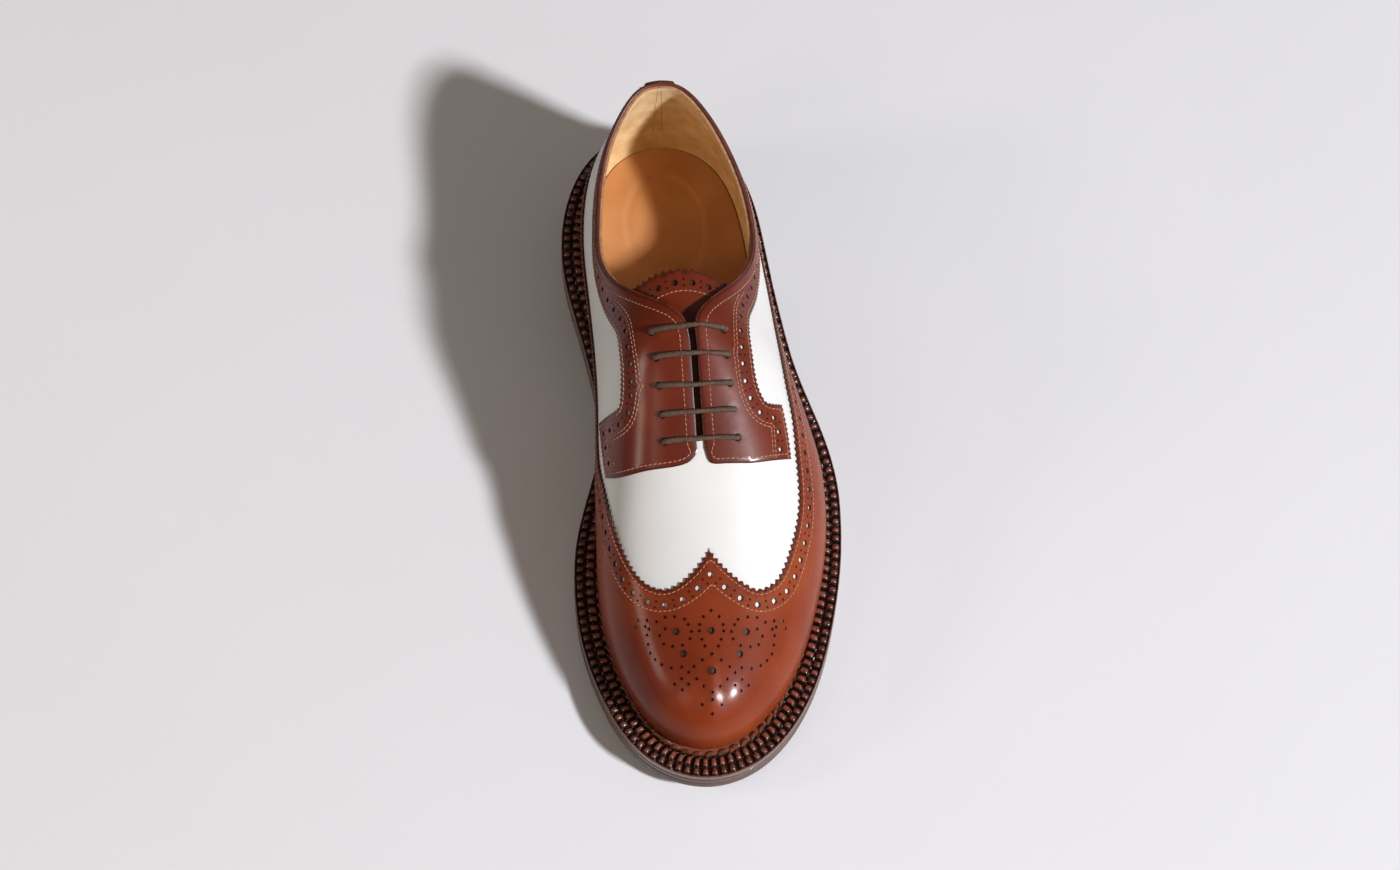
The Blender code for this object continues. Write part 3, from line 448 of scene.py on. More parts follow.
def evenly(form, line, spacing=None, count=None):
    # the same line with its points at equal real distances
    fine = line
    while len(fine) < 200:
        fine = np.insert(fine, range(1, len(fine)), (fine[1:] + fine[:-1]) / 2, axis=0)
    run = runOf(form(fine)[0])
    if count is None:
        count = max(int(round(run[-1] / spacing)), 1)
    wanted = np.linspace(0, run[-1], count + 1)
    return np.column_stack([np.interp(wanted, run, fine[:, axis]) for axis in (0, 1)])


def leftOf(form, line):
    # unit vectors along the surface, to the left of the line's direction
    place, normal = form(line)
    return unit(np.cross(normal, np.gradient(place, axis=0)))


def beside(form, line, amount):
    # a line a set distance to the left, trimmed where corners fold it over
    out = moved(form, line, leftOf(form, line) * amount)
    place, base = form(out)[0], form(line)[0]
    nearest = np.array([np.linalg.norm(base - p, axis=1).min() for p in place])
    allowance = 0.05  # how much nearer than it should be a good point may measure
    return out[nearest > abs(amount) * 0.96 - allowance]


def pinked(form, line, pitch, depth, way):
    # saw teeth along a line: the tips lie on it, the notches go in to the left or right
    count = max(int(round(runOf(form(line)[0])[-1] / pitch)), 1)
    fine = evenly(form, line, count=count * 4)
    cut = np.array([0.0, 0.55, 1.0, 0.55])[np.arange(len(fine)) % 4] * depth
    cut = np.minimum(cut, 0.6 * runOf(form(fine)[0]))  # shallow at the start, where two lines meet in a point
    return moved(form, fine, leftOf(form, fine) * (cut * way)[:, None])


def punched(form, centres, radius, sides):
    # round holes as closed lines on the pattern, one for each centre
    centres = np.atleast_2d(centres)
    tangent = slopes(form, centres)
    first = unit(tangent[:, :, 0])
    second = np.cross(form(centres)[1], first)
    turn = turned(sides)
    ways = radius * (first[:, :, None] * np.cos(turn) + second[:, :, None] * np.sin(turn))
    return centres[:, None] + np.swapaxes(np.linalg.pinv(tangent) @ ways, 1, 2)


pinSides, smallSides, holeSides, bigSides = 6, 8, 14, 16  # corners of a punched hole, by its size


def punchedRow(form, line, row, start=0.5):
    # big holes evenly along a line, with a pair of pinholes across the line between each two
    spots = evenly(form, line, spacing=row["spacing"] / 2)
    first = int(start * 2)
    middles, between = spots[first::2], spots[1 + first::2]
    holes = list(punched(form, middles, row["radius"], holeSides))
    ways = leftOf(form, spots)[1 + first::2]
    for way in (-1, 1):
        pins = moved(form, between, ways * way * row["pinAside"])
        holes += list(punched(form, pins, row["pinRadius"], pinSides))
    return holes


def within(points, outline):
    # which points lie inside a closed line
    found = np.zeros(len(points), bool)
    ax, ay = outline[:, 0], outline[:, 1]
    bx, by = np.roll(ax, -1), np.roll(ay, -1)
    for start in range(0, len(points), 4000):
        x, y = points[start:start + 4000, 0][:, None], points[start:start + 4000, 1][:, None]
        crosses = (ay > y) != (by > y)
        at = ax + (y - ay) * (bx - ax) / np.where(by == ay, 1.0, by - ay)
        found[start:start + 4000] = (crosses & (x < at)).sum(1) % 2 == 1
    return found


def distanceTo(points, line):
    # how far each point is from the nearest point of a line
    tree = KDTree(len(line))
    for i, p in enumerate(line):
        tree.insert((p[0], p[1], 0), i)
    tree.balance()
    return np.array([tree.find((p[0], p[1], 0))[2] for p in points])


def looseGrid(outline, gap):
    # rows of points in staggered order over an outline's box
    low, high = outline.min(0), outline.max(0)
    rows = np.arange(low[1] + gap / 2, high[1], gap * 0.866)
    points = []
    for k, y in enumerate(rows):
        xs = np.arange(low[0] + (gap / 2 if k % 2 else 0), high[0], gap)
        points.append(np.column_stack([xs, np.full(len(xs), y)]))
    return np.concatenate(points)


def newObject(name, points, faces, materials, indices=None):
    mesh = bpy.data.meshes.new(name)
    mesh.from_pydata((np.asarray(points) * metre).tolist(), [], faces)
    for material in materials:
        mesh.materials.append(material)
    if indices is not None:
        mesh.polygons.foreach_set("material_index", np.asarray(indices, np.int32))
    mesh.shade_smooth()
    mesh.set_sharp_from_angle(angle=math.radians(42))
    thing = bpy.data.objects.new(name, mesh)
    bpy.context.scene.collection.objects.link(thing)
    return thing


def setAttribute(thing, name, values):
    layer = thing.data.attributes.new(name, "FLOAT", "POINT")
    layer.data.foreach_set("value", np.asarray(values, np.float32))


def gridFaces(count, size, closed=False):
    # four-sided faces between closed rings of points, each ring joined to the next
    i, j = np.meshgrid(np.arange(count if closed else count - 1), np.arange(size), indexing="ij")
    after, up = (i + 1) % count, (j + 1) % size
    return np.stack([i * size + j, i * size + up, after * size + up, after * size + j], -1).reshape(-1, 4)


def cleaned(thing):
    # points that fall together are joined, and every face looks outwards
    work = bmesh.new()
    work.from_mesh(thing.data)
    bmesh.ops.remove_doubles(work, verts=work.verts, dist=0.02 * metre)
    bmesh.ops.dissolve_degenerate(work, edges=work.edges, dist=0.01 * metre)
    bmesh.ops.recalc_face_normals(work, faces=work.faces)
    work.to_mesh(thing.data)
    work.free()


def finishPiece(thing, slot, *nodes):
    if nodes:
        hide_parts(*nodes)
    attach(thing, "root")
    return thing


cutting = {
    "rollWidth": 0.5,  # how far in from a cut edge the leather's face rolls over
    "holeRoll": 0.12,  # how much of that roll the rim of a hole has
    "opening": 40,  # a loop with more points than this is an opening, not a punched hole
    # how far loose points keep off rings and edges, and rings off edges, as shares of their gap
    "offRings": 0.45, "offEdges": 0.62, "ringsOff": 0.6,
    # round every hole the face is darkened too, as painted shade
    "holeShade": (0.5, 1.6),  # holes count as edges this far off, and fade this much faster
}


def cutSheet(name, form, outline, holes, heights, materials, gap=2.0, roll=0.0, extra=None):
    # one piece of leather, cut to an outline with holes punched through it, as a closed body: heights are
    # those of its underside and its face over the form, materials those of its face, edge and underside
    rollWidth = cutting["rollWidth"]
    loops = [np.asarray(outline)] + [np.asarray(hole) for hole in holes]
    fixed = np.concatenate(loops)
    owner = np.concatenate([np.full(len(loop), k) for k, loop in enumerate(loops)])
    edges = []
    start = 0
    for loop in loops:
        edges += [(start + i, start + (i + 1) % len(loop)) for i in range(len(loop))]
        start += len(loop)
    loose = looseGrid(loops[0], gap)
    loose = loose[within(loose, loops[0])]
    rings = []
    for loop in loops[1:]:
        if len(loop) > cutting["opening"]:
            loose = loose[~within(loose, loop)]
            continue
        spokes = loop - loop.mean(0)
        rings.append(loop.mean(0) + spokes * (1 + rollWidth / np.linalg.norm(spokes, axis=1).mean()))
    if extra is not None:
        rings.append(extra)
    if rings:
        rings = np.concatenate(rings)
        rings = rings[within(rings, loops[0])]
        rings = rings[distanceTo(rings, fixed) > rollWidth * cutting["ringsOff"]]
        loose = loose[distanceTo(loose, rings) > gap * cutting["offRings"]]
    loose = loose[distanceTo(loose, fixed) > gap * cutting["offEdges"]]
    if len(rings):
        loose = np.concatenate([loose, rings])
    points = [Vector(p) for p in np.concatenate([fixed, loose])]
    flat, _, triangles, origin, _, _ = delaunay_2d_cdt(points, edges, [], 0, 1e-6)
    flat = np.array([tuple(p) for p in flat])
    triangles = np.array([tuple(t) for t in triangles])
    mark = np.full(len(flat), -1)  # 0 on the outline, 1 and up on a hole, -1 between them
    for i, source in enumerate(origin):
        inputs = [s for s in source if s < len(fixed)]
        if inputs:
            mark[i] = owner[inputs[0]]
    lined = (mark[triangles] >= 0).all(1)
    keep = np.ones(len(triangles), bool)
    centres = flat[triangles[lined]].mean(1)
    good = within(centres, loops[0])
    for k in np.unique(mark[mark > 0]):
        near = (mark[triangles[lined]] == k).any(1)
        good[near] &= ~within(centres[near], loops[k])
    keep[lined] = good
    triangles = triangles[keep]
    used, triangles = np.unique(triangles, return_inverse=True)
    triangles = triangles.reshape(-1, 3)
    flat, mark = flat[used], mark[used]
    place, normal = form(flat)
    low, high = heights
    top = np.full(len(flat), high)
    top[mark == 0] -= roll
    top[mark > 0] -= roll * cutting["holeRoll"]
    # how far each point is from the outline and the holes; the material darkens the face there: a burnished
    # edge along cut edges, painted shade at a foot and round holes
    toEdge = distanceTo(flat, loops[0])
    if len(loops) > 1:
        away, faster = cutting["holeShade"]
        toEdge = np.minimum(toEdge, away + faster * distanceTo(flat, np.concatenate(loops[1:])))
    upper = place + normal * top[:, None]
    lower = place + normal * low
    count = len(flat)
    directed = np.concatenate([triangles[:, [0, 1]], triangles[:, [1, 2]], triangles[:, [2, 0]]])
    seen = set(map(tuple, directed.tolist()))
    walls = [(b, a, a + count, b + count) for a, b in directed.tolist() if (b, a) not in seen]
    faces = triangles.tolist() + (triangles[:, ::-1] + count).tolist() + walls
    index = [0] * len(triangles) + [2] * len(triangles) + [1] * len(walls)
    thing = newObject(name, np.concatenate([upper, lower]), faces, materials, index)
    setAttribute(thing, "edgeGap", np.concatenate([toEdge, np.zeros(count)]))
    print("  %s: %d triangles" % (name, 2 * len(triangles) + 2 * len(walls)))
    return thing


def threadRows(name, form, rows, thread, material, slot):
    # sewn stitches: each is a short closed thread that dips into the leather at both ends. These are places
    # along it, how high it lies there and how thick it is, as shares of its length and radius
    steps = np.array([-0.5, -0.46, -0.25, 0.0, 0.25, 0.46, 0.5])
    rise = np.array([-0.5, -0.45, 0.35, 0.6, 0.35, -0.45, -0.5])
    thick = np.array([0.05, 0.7, 1.0, 1.0, 1.0, 0.7, 0.05])
    sides, count = 6, len(steps)
    turn = turned(sides)
    bodies = []
    for line in rows:
        spots = evenly(form, line, spacing=thread["pitch"])
        if len(spots) < 4:
            continue
        spots = (spots[1:] + spots[:-1]) / 2
        place, normal = form(spots)
        along = unit(np.gradient(place, axis=0))
        along = unit(along + np.cross(normal, along) * thread["slant"])
        aside = np.cross(normal, along)
        core = (place[:, None] + along[:, None] * (steps * thread["pitch"] * thread["fill"])[None, :, None]
                + normal[:, None] * (thread["height"] + rise * thread["radius"])[None, :, None])
        around = aside[:, None] * np.cos(turn)[None, :, None] + normal[:, None] * np.sin(turn)[None, :, None]
        ring = core[:, :, None] + around[:, None] * (thread["radius"] * thick)[None, :, None, None]
        bodies.append(ring.reshape(-1, 3))
    points = np.concatenate(bodies)
    one = np.roll(gridFaces(count, sides)[:, ::-1], 1, axis=1)
    starts = np.arange(0, len(points), count * sides)
    faces = (starts[:, None, None] + one[None]).reshape(-1, 4).tolist()
    ends = [np.arange(sides), (count - 1) * sides + np.arange(sides)[::-1]]
    faces += [(first + end).tolist() for first in starts for end in ends]
    thing = newObject(name, points, faces, [material])
    print("  %s: %d stitches" % (name, len(starts)))
    return finishPiece(thing, slot)


def tube(name, line, radius, sides, material, braid=None):
    # a cord along a line; a braid gives its pitch and how much its strands stand out
    way = unit(np.gradient(line, axis=0))
    across = np.cross(way[0], (0.0, 0.0, 1.0))
    frames = []
    for direction in way:  # the frame is carried along the line without twisting
        across = across - direction * across.dot(direction)
        across = across / np.linalg.norm(across)
        frames.append(across)
    across = np.array(frames)
    other = np.cross(way, across)
    turn = turned(sides)
    radius = np.broadcast_to(radius, len(line))[:, None]
    if braid:
        wave = np.cos(2 * math.pi * runOf(line) / braid["pitch"])
        radius = radius * (1 + braid["relief"] * wave[:, None] * np.cos(braid["strands"] * turn)[None])
    radius = np.broadcast_to(radius, (len(line), sides))[..., None]
    spokes = across[:, None] * np.cos(turn)[None, :, None] + other[:, None] * np.sin(turn)[None, :, None]
    faces = gridFaces(len(line), sides).tolist()
    faces += [list(range(sides))[::-1], [(len(line) - 1) * sides + k for k in range(sides)]]
    return newObject(name, (line[:, None] + radius * spokes).reshape(-1, 3), faces, [material])


def throughPoints(points, spacing):
    # a smooth curve through points in space, with its own points evenly spaced
    points = np.asarray(points, float)
    knots = np.concatenate([[0], np.cumsum(np.sqrt(np.linalg.norm(np.diff(points, axis=0), axis=1)))])
    fine = np.linspace(0, knots[-1], 60 * len(points))
    line = np.column_stack([spline(knots, points[:, axis])(fine) for axis in range(3)])
    run = runOf(line)
    wanted = np.linspace(0, run[-1], int(run[-1] / spacing) + 1)
    return np.column_stack([np.interp(wanted, run, line[:, axis]) for axis in range(3)])


print("materials")


def toLinear(code):
    values = [int(code[i:i + 2], 16) / 255 for i in (1, 3, 5)]
    return (*[v / 12.92 if v <= 0.04045 else ((v + 0.055) / 1.055)**2.4 for v in values], 1.0)


def setNode(tree, node, settings=None, links=None):
    # a node's values are set and its inputs linked: links are input name to (node, output name)
    for key, value in (settings or {}).items():
        if key == "stops":  # colours along a ramp: position and hex value
            ramp = node.color_ramp
            ramp.elements.remove(ramp.elements[1])
            ramp.elements[0].position = value[0][0]
            ramp.elements[0].color = toLinear(value[0][1])
            for position, code in value[1:]:
                ramp.elements.new(position).color = toLinear(code)
        elif isinstance(key, int) or key in node.inputs:
            node.inputs[key].default_value = value
        else:
            setattr(node, key, value)
    for key, (source, output) in (links or {}).items():
        tree.links.new(source.outputs[output], node.inputs[key])
    return node


def addNode(tree, kind, settings=None, links=None):
    return setNode(tree, tree.nodes.new("ShaderNode" + kind), settings, links)


def startMaterial(name):
    material = bpy.data.materials.new(name)
    material.use_nodes = True
    tree = material.node_tree
    return material, tree, tree.nodes["Principled BSDF"], addNode(tree, "TexCoord")


def calfLeather(name, look):
    # chrome-tanned calf, finished smooth: a fine closed grain under a thin finish, darker along cut edges and
    # round holes, partly a burnished edge and partly painted shade. The grain is drawn coarser than real
    # pores, which would fall between the picture's pixels
    material, tree, shader, where = startMaterial(name)
    on = {"Vector": (where, "Object")}
    clouds = addNode(tree, "TexNoise", {"Scale": 1000 / look["cloud"], "Detail": 3.0, "Roughness": 0.55}, on)
    tones = ((0.30, look["dark"]), (0.52, look["base"]), (0.75, look["light"]))
    tone = addNode(tree, "ValToRGB", {"stops": tones}, {"Fac": (clouds, "Fac")})
    # the face darkens towards its edge colour near cut edges and holes: a burnished edge, and painted shade
    edge = addNode(tree, "Attribute", {"attribute_name": "edgeGap"})
    near = addNode(tree, "MapRange", {
        "From Min": 0.1, "From Max": look["burnishAndShadeWidth"], "To Min": 1.0, "To Max": 0.0,
        "interpolation_type": "SMOOTHSTEP"}, {"Value": (edge, "Fac")})
    amount = addNode(tree, "Math", {"operation": "MULTIPLY", 1: look["burnishAndShade"]}, {0: (near, "Result")})
    mix = addNode(tree, "Mix", {"data_type": "RGBA", 7: toLinear(look["edge"])},
                  {"Factor": (amount, "Value"), 6: (tone, "Color")})
    pores = addNode(tree, "TexVoronoi", {"Scale": 1000 / look["grain"], "feature": "DISTANCE_TO_EDGE"}, on)
    wrinkle = addNode(tree, "TexNoise", {"Scale": 1000 / (look["grain"] * 5), "Detail": 4.0}, on)
    fine = addNode(tree, "Bump", {"Strength": look["bump"], "Distance": 0.12 * metre},
                   {"Height": (pores, "Distance")})
    soft = addNode(tree, "Bump", {"Strength": look["bump"] * 0.8, "Distance": 0.4 * metre},
                   {"Height": (wrinkle, "Fac"), "Normal": (fine, "Normal")})
    gloss = addNode(tree, "MapRange", {
        "From Min": 0.3, "From Max": 0.7,
        "To Min": look["roughness"] - 0.05, "To Max": look["roughness"] + 0.07}, {"Value": (wrinkle, "Fac")})
    setNode(tree, shader, {
        "IOR": 1.5, "Specular IOR Level": look["specular"], "Coat Weight": look["coat"],
        "Coat Roughness": look["coatRoughness"]},
        {"Base Color": (mix, 2), "Normal": (soft, "Normal"), "Roughness": (gloss, "Result")})
    return material


def plainLook(name, look):
    # a matt or satin material with one cloudy tone and an even fine bump
    material, tree, shader, where = startMaterial(name)
    on = {"Vector": (where, "Object")}
    clouds = addNode(tree, "TexNoise", {"Scale": 1000 / look["cloud"], "Detail": 5.0, "Roughness": 0.6}, on)
    tone = addNode(tree, "ValToRGB", {"stops": ((0.32, look["dark"]), (0.68, look["light"]))},
                   {"Fac": (clouds, "Fac")})
    grit = addNode(tree, "TexNoise", {"Scale": 1000 / look["grain"], "Detail": 3.0}, on)
    bump = addNode(tree, "Bump", {"Strength": look["bump"], "Distance": look["depth"] * metre},
                   {"Height": (grit, "Fac")})
    setNode(tree, shader, {
        "Roughness": look["roughness"], "Sheen Weight": look.get("sheen", 0.0),
        "Coat Weight": look.get("coat", 0.0)},
        {"Base Color": (tone, "Color"), "Normal": (bump, "Normal")})
    return material


# Sizes in a look are in millimetres: cloud and grain are the size of its blotches and of its bumps
# the edge colour is laid along cut edges and round holes: partly a burnished edge, partly painted shade
calf = {
    "edge": "#3a140b", "burnishAndShade": 0.7, "burnishAndShadeWidth": 1.5, "cloud": 60.0, "grain": 0.5, "roughness": 0.48,
}
toeCalf = calfLeather("aniline calf, polished", {  # a soft body under a small sharp highlight
    **calf, "base": "#7c3013", "dark": "#64220c", "light": "#8f421c", "bump": 0.06, "specular": 0.12,
    "coat": 0.22, "coatRoughness": 0.19})
chestnutCalf = calfLeather("aniline calf, waxed", {  # dyed redder, with broad pale bands of light
    **calf, "base": "#6d260f", "dark": "#581c0a", "light": "#803416", "edge": "#37130b", "bump": 0.08,
    "specular": 0.15, "coat": 0.45, "coatRoughness": 0.22})
whiteCalf = calfLeather("calf, sprayed with white pigment", {  # even and nearly matt, its shading clean
    **calf, "base": "#d9d8d5", "dark": "#d4d3cf", "light": "#dedddb", "edge": "#c9c3b9", "burnishAndShade": 0.4,
    "grain": 0.6, "bump": 0.12, "roughness": 0.5, "specular": 0.4, "coat": 0.1, "coatRoughness": 0.3})
insoleLeather = calfLeather("calf, vegetable-tanned", {  # honey and dull, and near black along the lining as painted shade
    **calf, "base": "#bf8452", "dark": "#b17643", "light": "#cb9463", "edge": "#2a1208", "burnishAndShade": 0.85,
    "burnishAndShadeWidth": 1.1, "cloud": 40.0, "bump": 0.08, "roughness": 0.5, "specular": 0.3, "coat": 0.0,
    "coatRoughness": 0.3})
# near black on the walls of every cut edge and hole: burnished edge colour, and painted shade under the teeth
# and in the holes
cutEdgeAndShade = plainLook("calf, cut and burnished, with painted shade", {  # a dark line that draws every pinked edge and hole
    "dark": "#2a100a", "light": "#4a2014", "cloud": 3.0, "grain": 0.3, "bump": 0.3, "depth": 0.1,
    "roughness": 0.6})
rawEdge = plainLook("calf, cut and left raw", {  # fibres in their own colour, dull, inside the holes
    "dark": "#8a6444", "light": "#b88d62", "cloud": 2.0, "grain": 0.3, "bump": 0.5, "depth": 0.2,
    "roughness": 0.8})
tanLining = plainLook("vegetable-tanned lining, flesh side out", {  # a short dry nap: pale, no highlight
    "dark": "#cfa668", "light": "#ecca93", "cloud": 9.0, "grain": 0.5, "bump": 0.5, "depth": 0.25,
    "roughness": 0.85, "sheen": 0.2})
linenThread = plainLook("linen thread, twisted and waxed", {  # beige dashes that stand out on the chestnut
    "dark": "#8f6046", "light": "#bd9173", "cloud": 1.5, "grain": 0.3, "bump": 0.3, "depth": 0.1,
    "roughness": 0.6})
liningThread = plainLook("linen thread, undyed", {  # almost the lining's colour, seen by its shadow
    "dark": "#b08a58", "light": "#d8b27c", "cloud": 1.5, "grain": 0.3, "bump": 0.3, "depth": 0.1,
    "roughness": 0.7})
beadLeather = plainLook("calf, skived and turned over a cord", {  # a red-brown rim that is a little glossy
    "dark": "#4a1d12", "light": "#733020", "cloud": 6.0, "grain": 0.4, "bump": 0.2, "depth": 0.1,
    "roughness": 0.4})
waxedCotton = plainLook("cotton, braided and waxed", {  # dull grey-brown, its braid just showing
    "dark": "#38271d", "light": "#5e4532", "cloud": 1.2, "grain": 0.5, "bump": 0.6, "depth": 0.2,
    "roughness": 0.7})
soleEdge = plainLook("sole leather, stained and hot-waxed", {  # nearly black, with a low long shine
    "dark": "#3a2820", "light": "#594238", "cloud": 30.0, "grain": 0.6, "bump": 0.15, "depth": 0.15,
    "roughness": 0.42, "coat": 0.2})
soleLeather = plainLook("sole leather, bark-tanned and stained", {  # brown, firm and only half dull
    "dark": "#48352b", "light": "#66503f", "cloud": 20.0, "grain": 0.8, "bump": 0.2, "depth": 0.15,
    "roughness": 0.5})
heelRubber = plainLook("rubber, moulded", {  # black and dull, so that the heel ends in a plain dark band
    "dark": "#1c1a19", "light": "#272423", "cloud": 12.0, "grain": 0.7, "bump": 0.3, "depth": 0.1,
    "roughness": 0.75})
weltThread = plainLook("linen thread, thick and waxed", {  # orange-brown, all along the upper's foot
    "dark": "#44200f", "light": "#7d4525", "cloud": 2.5, "grain": 0.5, "bump": 0.4, "depth": 0.2,
    "roughness": 0.45, "coat": 0.2})
paleFloor = plainLook("plaster, painted", {  # even and matt, it takes a soft shadow
    "dark": "#dcdcdd", "light": "#dfdfe1", "cloud": 400.0, "grain": 3.0, "bump": 0.05, "depth": 0.1,
    "roughness": 0.9})


def braidedWelt(name, look):
    # its tone follows how high the braid stands: painted light on the tops, painted shade near black in the
    # slots
    material, tree, shader, where = startMaterial(name)
    rise = addNode(tree, "Attribute", {"attribute_name": "rise"})
    blotch = addNode(tree, "TexNoise", {"Scale": 1000 / look["blotch"], "Detail": 4.0},
                     {"Vector": (where, "Object")})
    spread = addNode(tree, "Math", {"operation": "MULTIPLY_ADD", 1: 1.0, 2: -0.5}, {0: (blotch, "Fac")})
    level = addNode(tree, "Math", {"operation": "ADD"}, {0: (rise, "Fac"), 1: (spread, "Value")})
    tone = addNode(tree, "ValToRGB", {"stops": look["tones"]}, {"Fac": (level, "Value")})
    bump = addNode(tree, "Bump", {"Strength": 0.35, "Distance": 0.3 * metre}, {"Height": (blotch, "Fac")})
    setNode(tree, shader, {
        "Roughness": look["roughness"], "Coat Weight": look["coat"], "Coat Roughness": look["coatRoughness"]},
        {"Base Color": (tone, "Color"), "Normal": (bump, "Normal")})
    return material


# the tone by height paints light on each block's top and shade in its slots
weltLeather = braidedWelt("sole leather, braided, dyed and waxed", {  # each block has its own small highlight
    "blotch": 1.6, "roughness": 0.35, "coat": 0.4, "coatRoughness": 0.2,
    "tones": ((0.1, "#0c0403"), (0.45, "#2c120a"), (0.75, "#592a1b"), (1.0, "#8a4833"))})

print("upper: leather and lining")

hidden = 4.0  # overlays run on under the back strip to this rib angle
wall = {"leather": 0.9, "lining": 0.95, "whole": 2.0}  # how deep the leather ends, the lining starts and ends


def smoothRun(points, pieces=10):
    # smooth curve through a run of rib angle and share, as pattern points
    points = np.array(points, float)
    if len(points) == 2:
        fine = np.linspace(0, 1, 60)[:, None]
        ends = points[0] * (1 - fine) + points[1] * fine
        return toPattern(ends[:, 0], ends[:, 1])
    knots = np.arange(len(points), dtype=float)
    fine = np.linspace(0, len(points) - 1, (len(points) - 1) * pieces + 1)
    run = np.column_stack([spline(knots, points[:, axis])(fine) for axis in (0, 1)])
    return toPattern(run[:, 0], run[:, 1])


def onSide(points, side):
    return [(a if side > 0 else 360 - a, s) for a, s in points]


# rib angle and share of each overlay's edge: the facings' sides, then the wing cap from the heel to its peak
facings = {
    1: {
        "name": "facing_lateral",
        "front": ((113.6, 0.994), (115.1, 0.970), (114.2, 0.903), (112.5, 0.815), (110.9, 0.740),
                  (106.3, 0.556)),
        "foot": ((106.3, 0.556), (101.8, 0.567), (97.3, 0.581)),
        "back": ((97.3, 0.581), (99.3, 0.674), (98.9, 0.706), (96.8, 0.730), (91.9, 0.748), (86.6, 0.785),
                 (83.1, 0.800), (78.2, 0.795), (70.0, 0.800), (58.0, 0.800), (40, 0.820), (hidden, 0.850)),
    },
    -1: {
        "name": "facing_medial",
        "front": ((113.6, 0.994), (114.1, 0.925), (112.0, 0.807), (109.6, 0.695), (106.8, 0.560),
                  (103.3, 0.428)),
        "foot": ((103.3, 0.428), (98.5, 0.404), (91.9, 0.377)),
        "back": ((91.9, 0.377), (94.1, 0.508), (95.4, 0.591), (94.9, 0.621), (92.8, 0.650), (90.6, 0.684),
                 (87.3, 0.735), (84.4, 0.775), (80.0, 0.785), (72.0, 0.790), (58.0, 0.800), (40, 0.820),
                 (hidden, 0.850)),
    },
}
lateralWing = (
    (hidden, 0.340), (10.1, 0.340), (30, 0.340), (50, 0.375), (66, 0.430), (76, 0.470), (86.7, 0.498),
    (96, 0.505), (103, 0.522), (108.8, 0.513), (113.4, 0.500), (120, 0.508), (127.7, 0.544), (132, 0.594),
    (135.1, 0.665), (136.1, 0.732), (136.4, 0.809), (136, 0.899), (135.2, 0.960), (134.4, 1.0),
)
medialWing = (
    (hidden, 0.340), (10.1, 0.340), (30, 0.330), (52, 0.310), (70, 0.280), (84, 0.270), (92, 0.290),
    (98, 0.335), (103.9, 0.396), (108.7, 0.434), (113.5, 0.466), (118, 0.490), (124.7, 0.533), (130.2, 0.595),
    (133.8, 0.671), (135.3, 0.735), (136, 0.805), (135.9, 0.893), (135.1, 0.961), (134.4, 1.0),
)
# rib angle and share of each eyelet, lateral then medial, from the top row down
eyelets = (
    (91.4, 0.901, 90.6, 0.892), (95.7, 0.878, 94.5, 0.856), (100.3, 0.870, 98.9, 0.842),
    (104.4, 0.858, 103.7, 0.840), (108.7, 0.842, 108.1, 0.834),
)
eyeletRadius = 1.7


def eyeletSpot(side, row):
    lateralRib, lateralShare, medialRib, medialShare = eyelets[row]
    return (lateralRib, lateralShare) if side > 0 else (360 - medialRib, medialShare)


def eyeletsOf(side):
    spots = [toPattern(*eyeletSpot(side, row)) for row in range(len(eyelets))]
    return list(punched(skin, np.concatenate(spots), eyeletRadius, bigSides))


eyeletHoles = {side: eyeletsOf(side) for side in (1, -1)}
throatEnd = 112.0  # the rib at which the throat's slit ends
openRibs = np.concatenate([np.arange(0.0, throatEnd, 1.0), 360 - np.arange(throatEnd - 1, 0.0, -1.0)])
wholeSkin = toPattern(np.arange(0.0, 360.0, 1.5), 0.0)
openings = [toPattern(openRibs, 1.0)] + eyeletHoles[1] + eyeletHoles[-1]

shell = cutSheet("upper_leather", skin, wholeSkin, openings, (-wall["leather"], 0.0),
                 [whiteCalf, rawEdge, rawEdge], gap=2.6, roll=0.1)
finishPiece(shell, "white_calf", "upper")
lining = cutSheet("lining", skin, wholeSkin, openings, (-wall["whole"], -wall["lining"]),
                  [rawEdge, rawEdge, tanLining], gap=2.6)
finishPiece(lining, "tan_lining")

# pitch of the stitches, how much of it one fills, their thickness, height on the skin and slant
seam = {"pitch": 2.1, "fill": 0.82, "radius": 0.23, "height": 1.2, "slant": 0.12}
backSeam = [smoothRun(((rib, 0.97), (rib, 0.25))) for rib in (1.6, 358.4)]
threadRows("lining_stitches", skin, backSeam, {**seam, "height": -wall["whole"]}, liningThread,
           "waxed_cotton")

print("overlays: wing cap, facings, heel strip")

# how far over the skin an overlay's two faces lie, how its face rolls over, how close its edge's points are
overlay = {"low": 0.15, "high": 1.2, "roll": 0.25, "spacing": 0.8}
overlayHeights = (overlay["low"], overlay["high"])
# saw teeth, then how far from the edge the first seam, the punched row and the seams past it run
wingBrogue = {"pitch": 2.85, "depth": 1.4, "stitch": 2.6, "holes": 7.0, "radius": 1.2, "spacing": 8.0,
              "pinRadius": 0.43, "pinAside": 1.35, "inner": (9.8,)}
facingBrogue = {"pitch": 2.1, "depth": 0.8, "stitch": 2.4, "holes": 6.2, "radius": 1.05, "spacing": 7.6,
                "pinRadius": 0.38, "pinAside": 1.2, "inner": (9.0, 10.4), "hem": 2.2}
wingFoot = {"rise": 1.4, "tuckShare": 0.6}  # how far over the feather the wing's lower edge lies
# a dark sheet under the medallion, seen through its holes: how far inside the edge, how far round and how far
# down it goes
backing = {"inside": 8.9, "reach": 44, "foot": 0.3, "heights": (0.02, 0.14)}

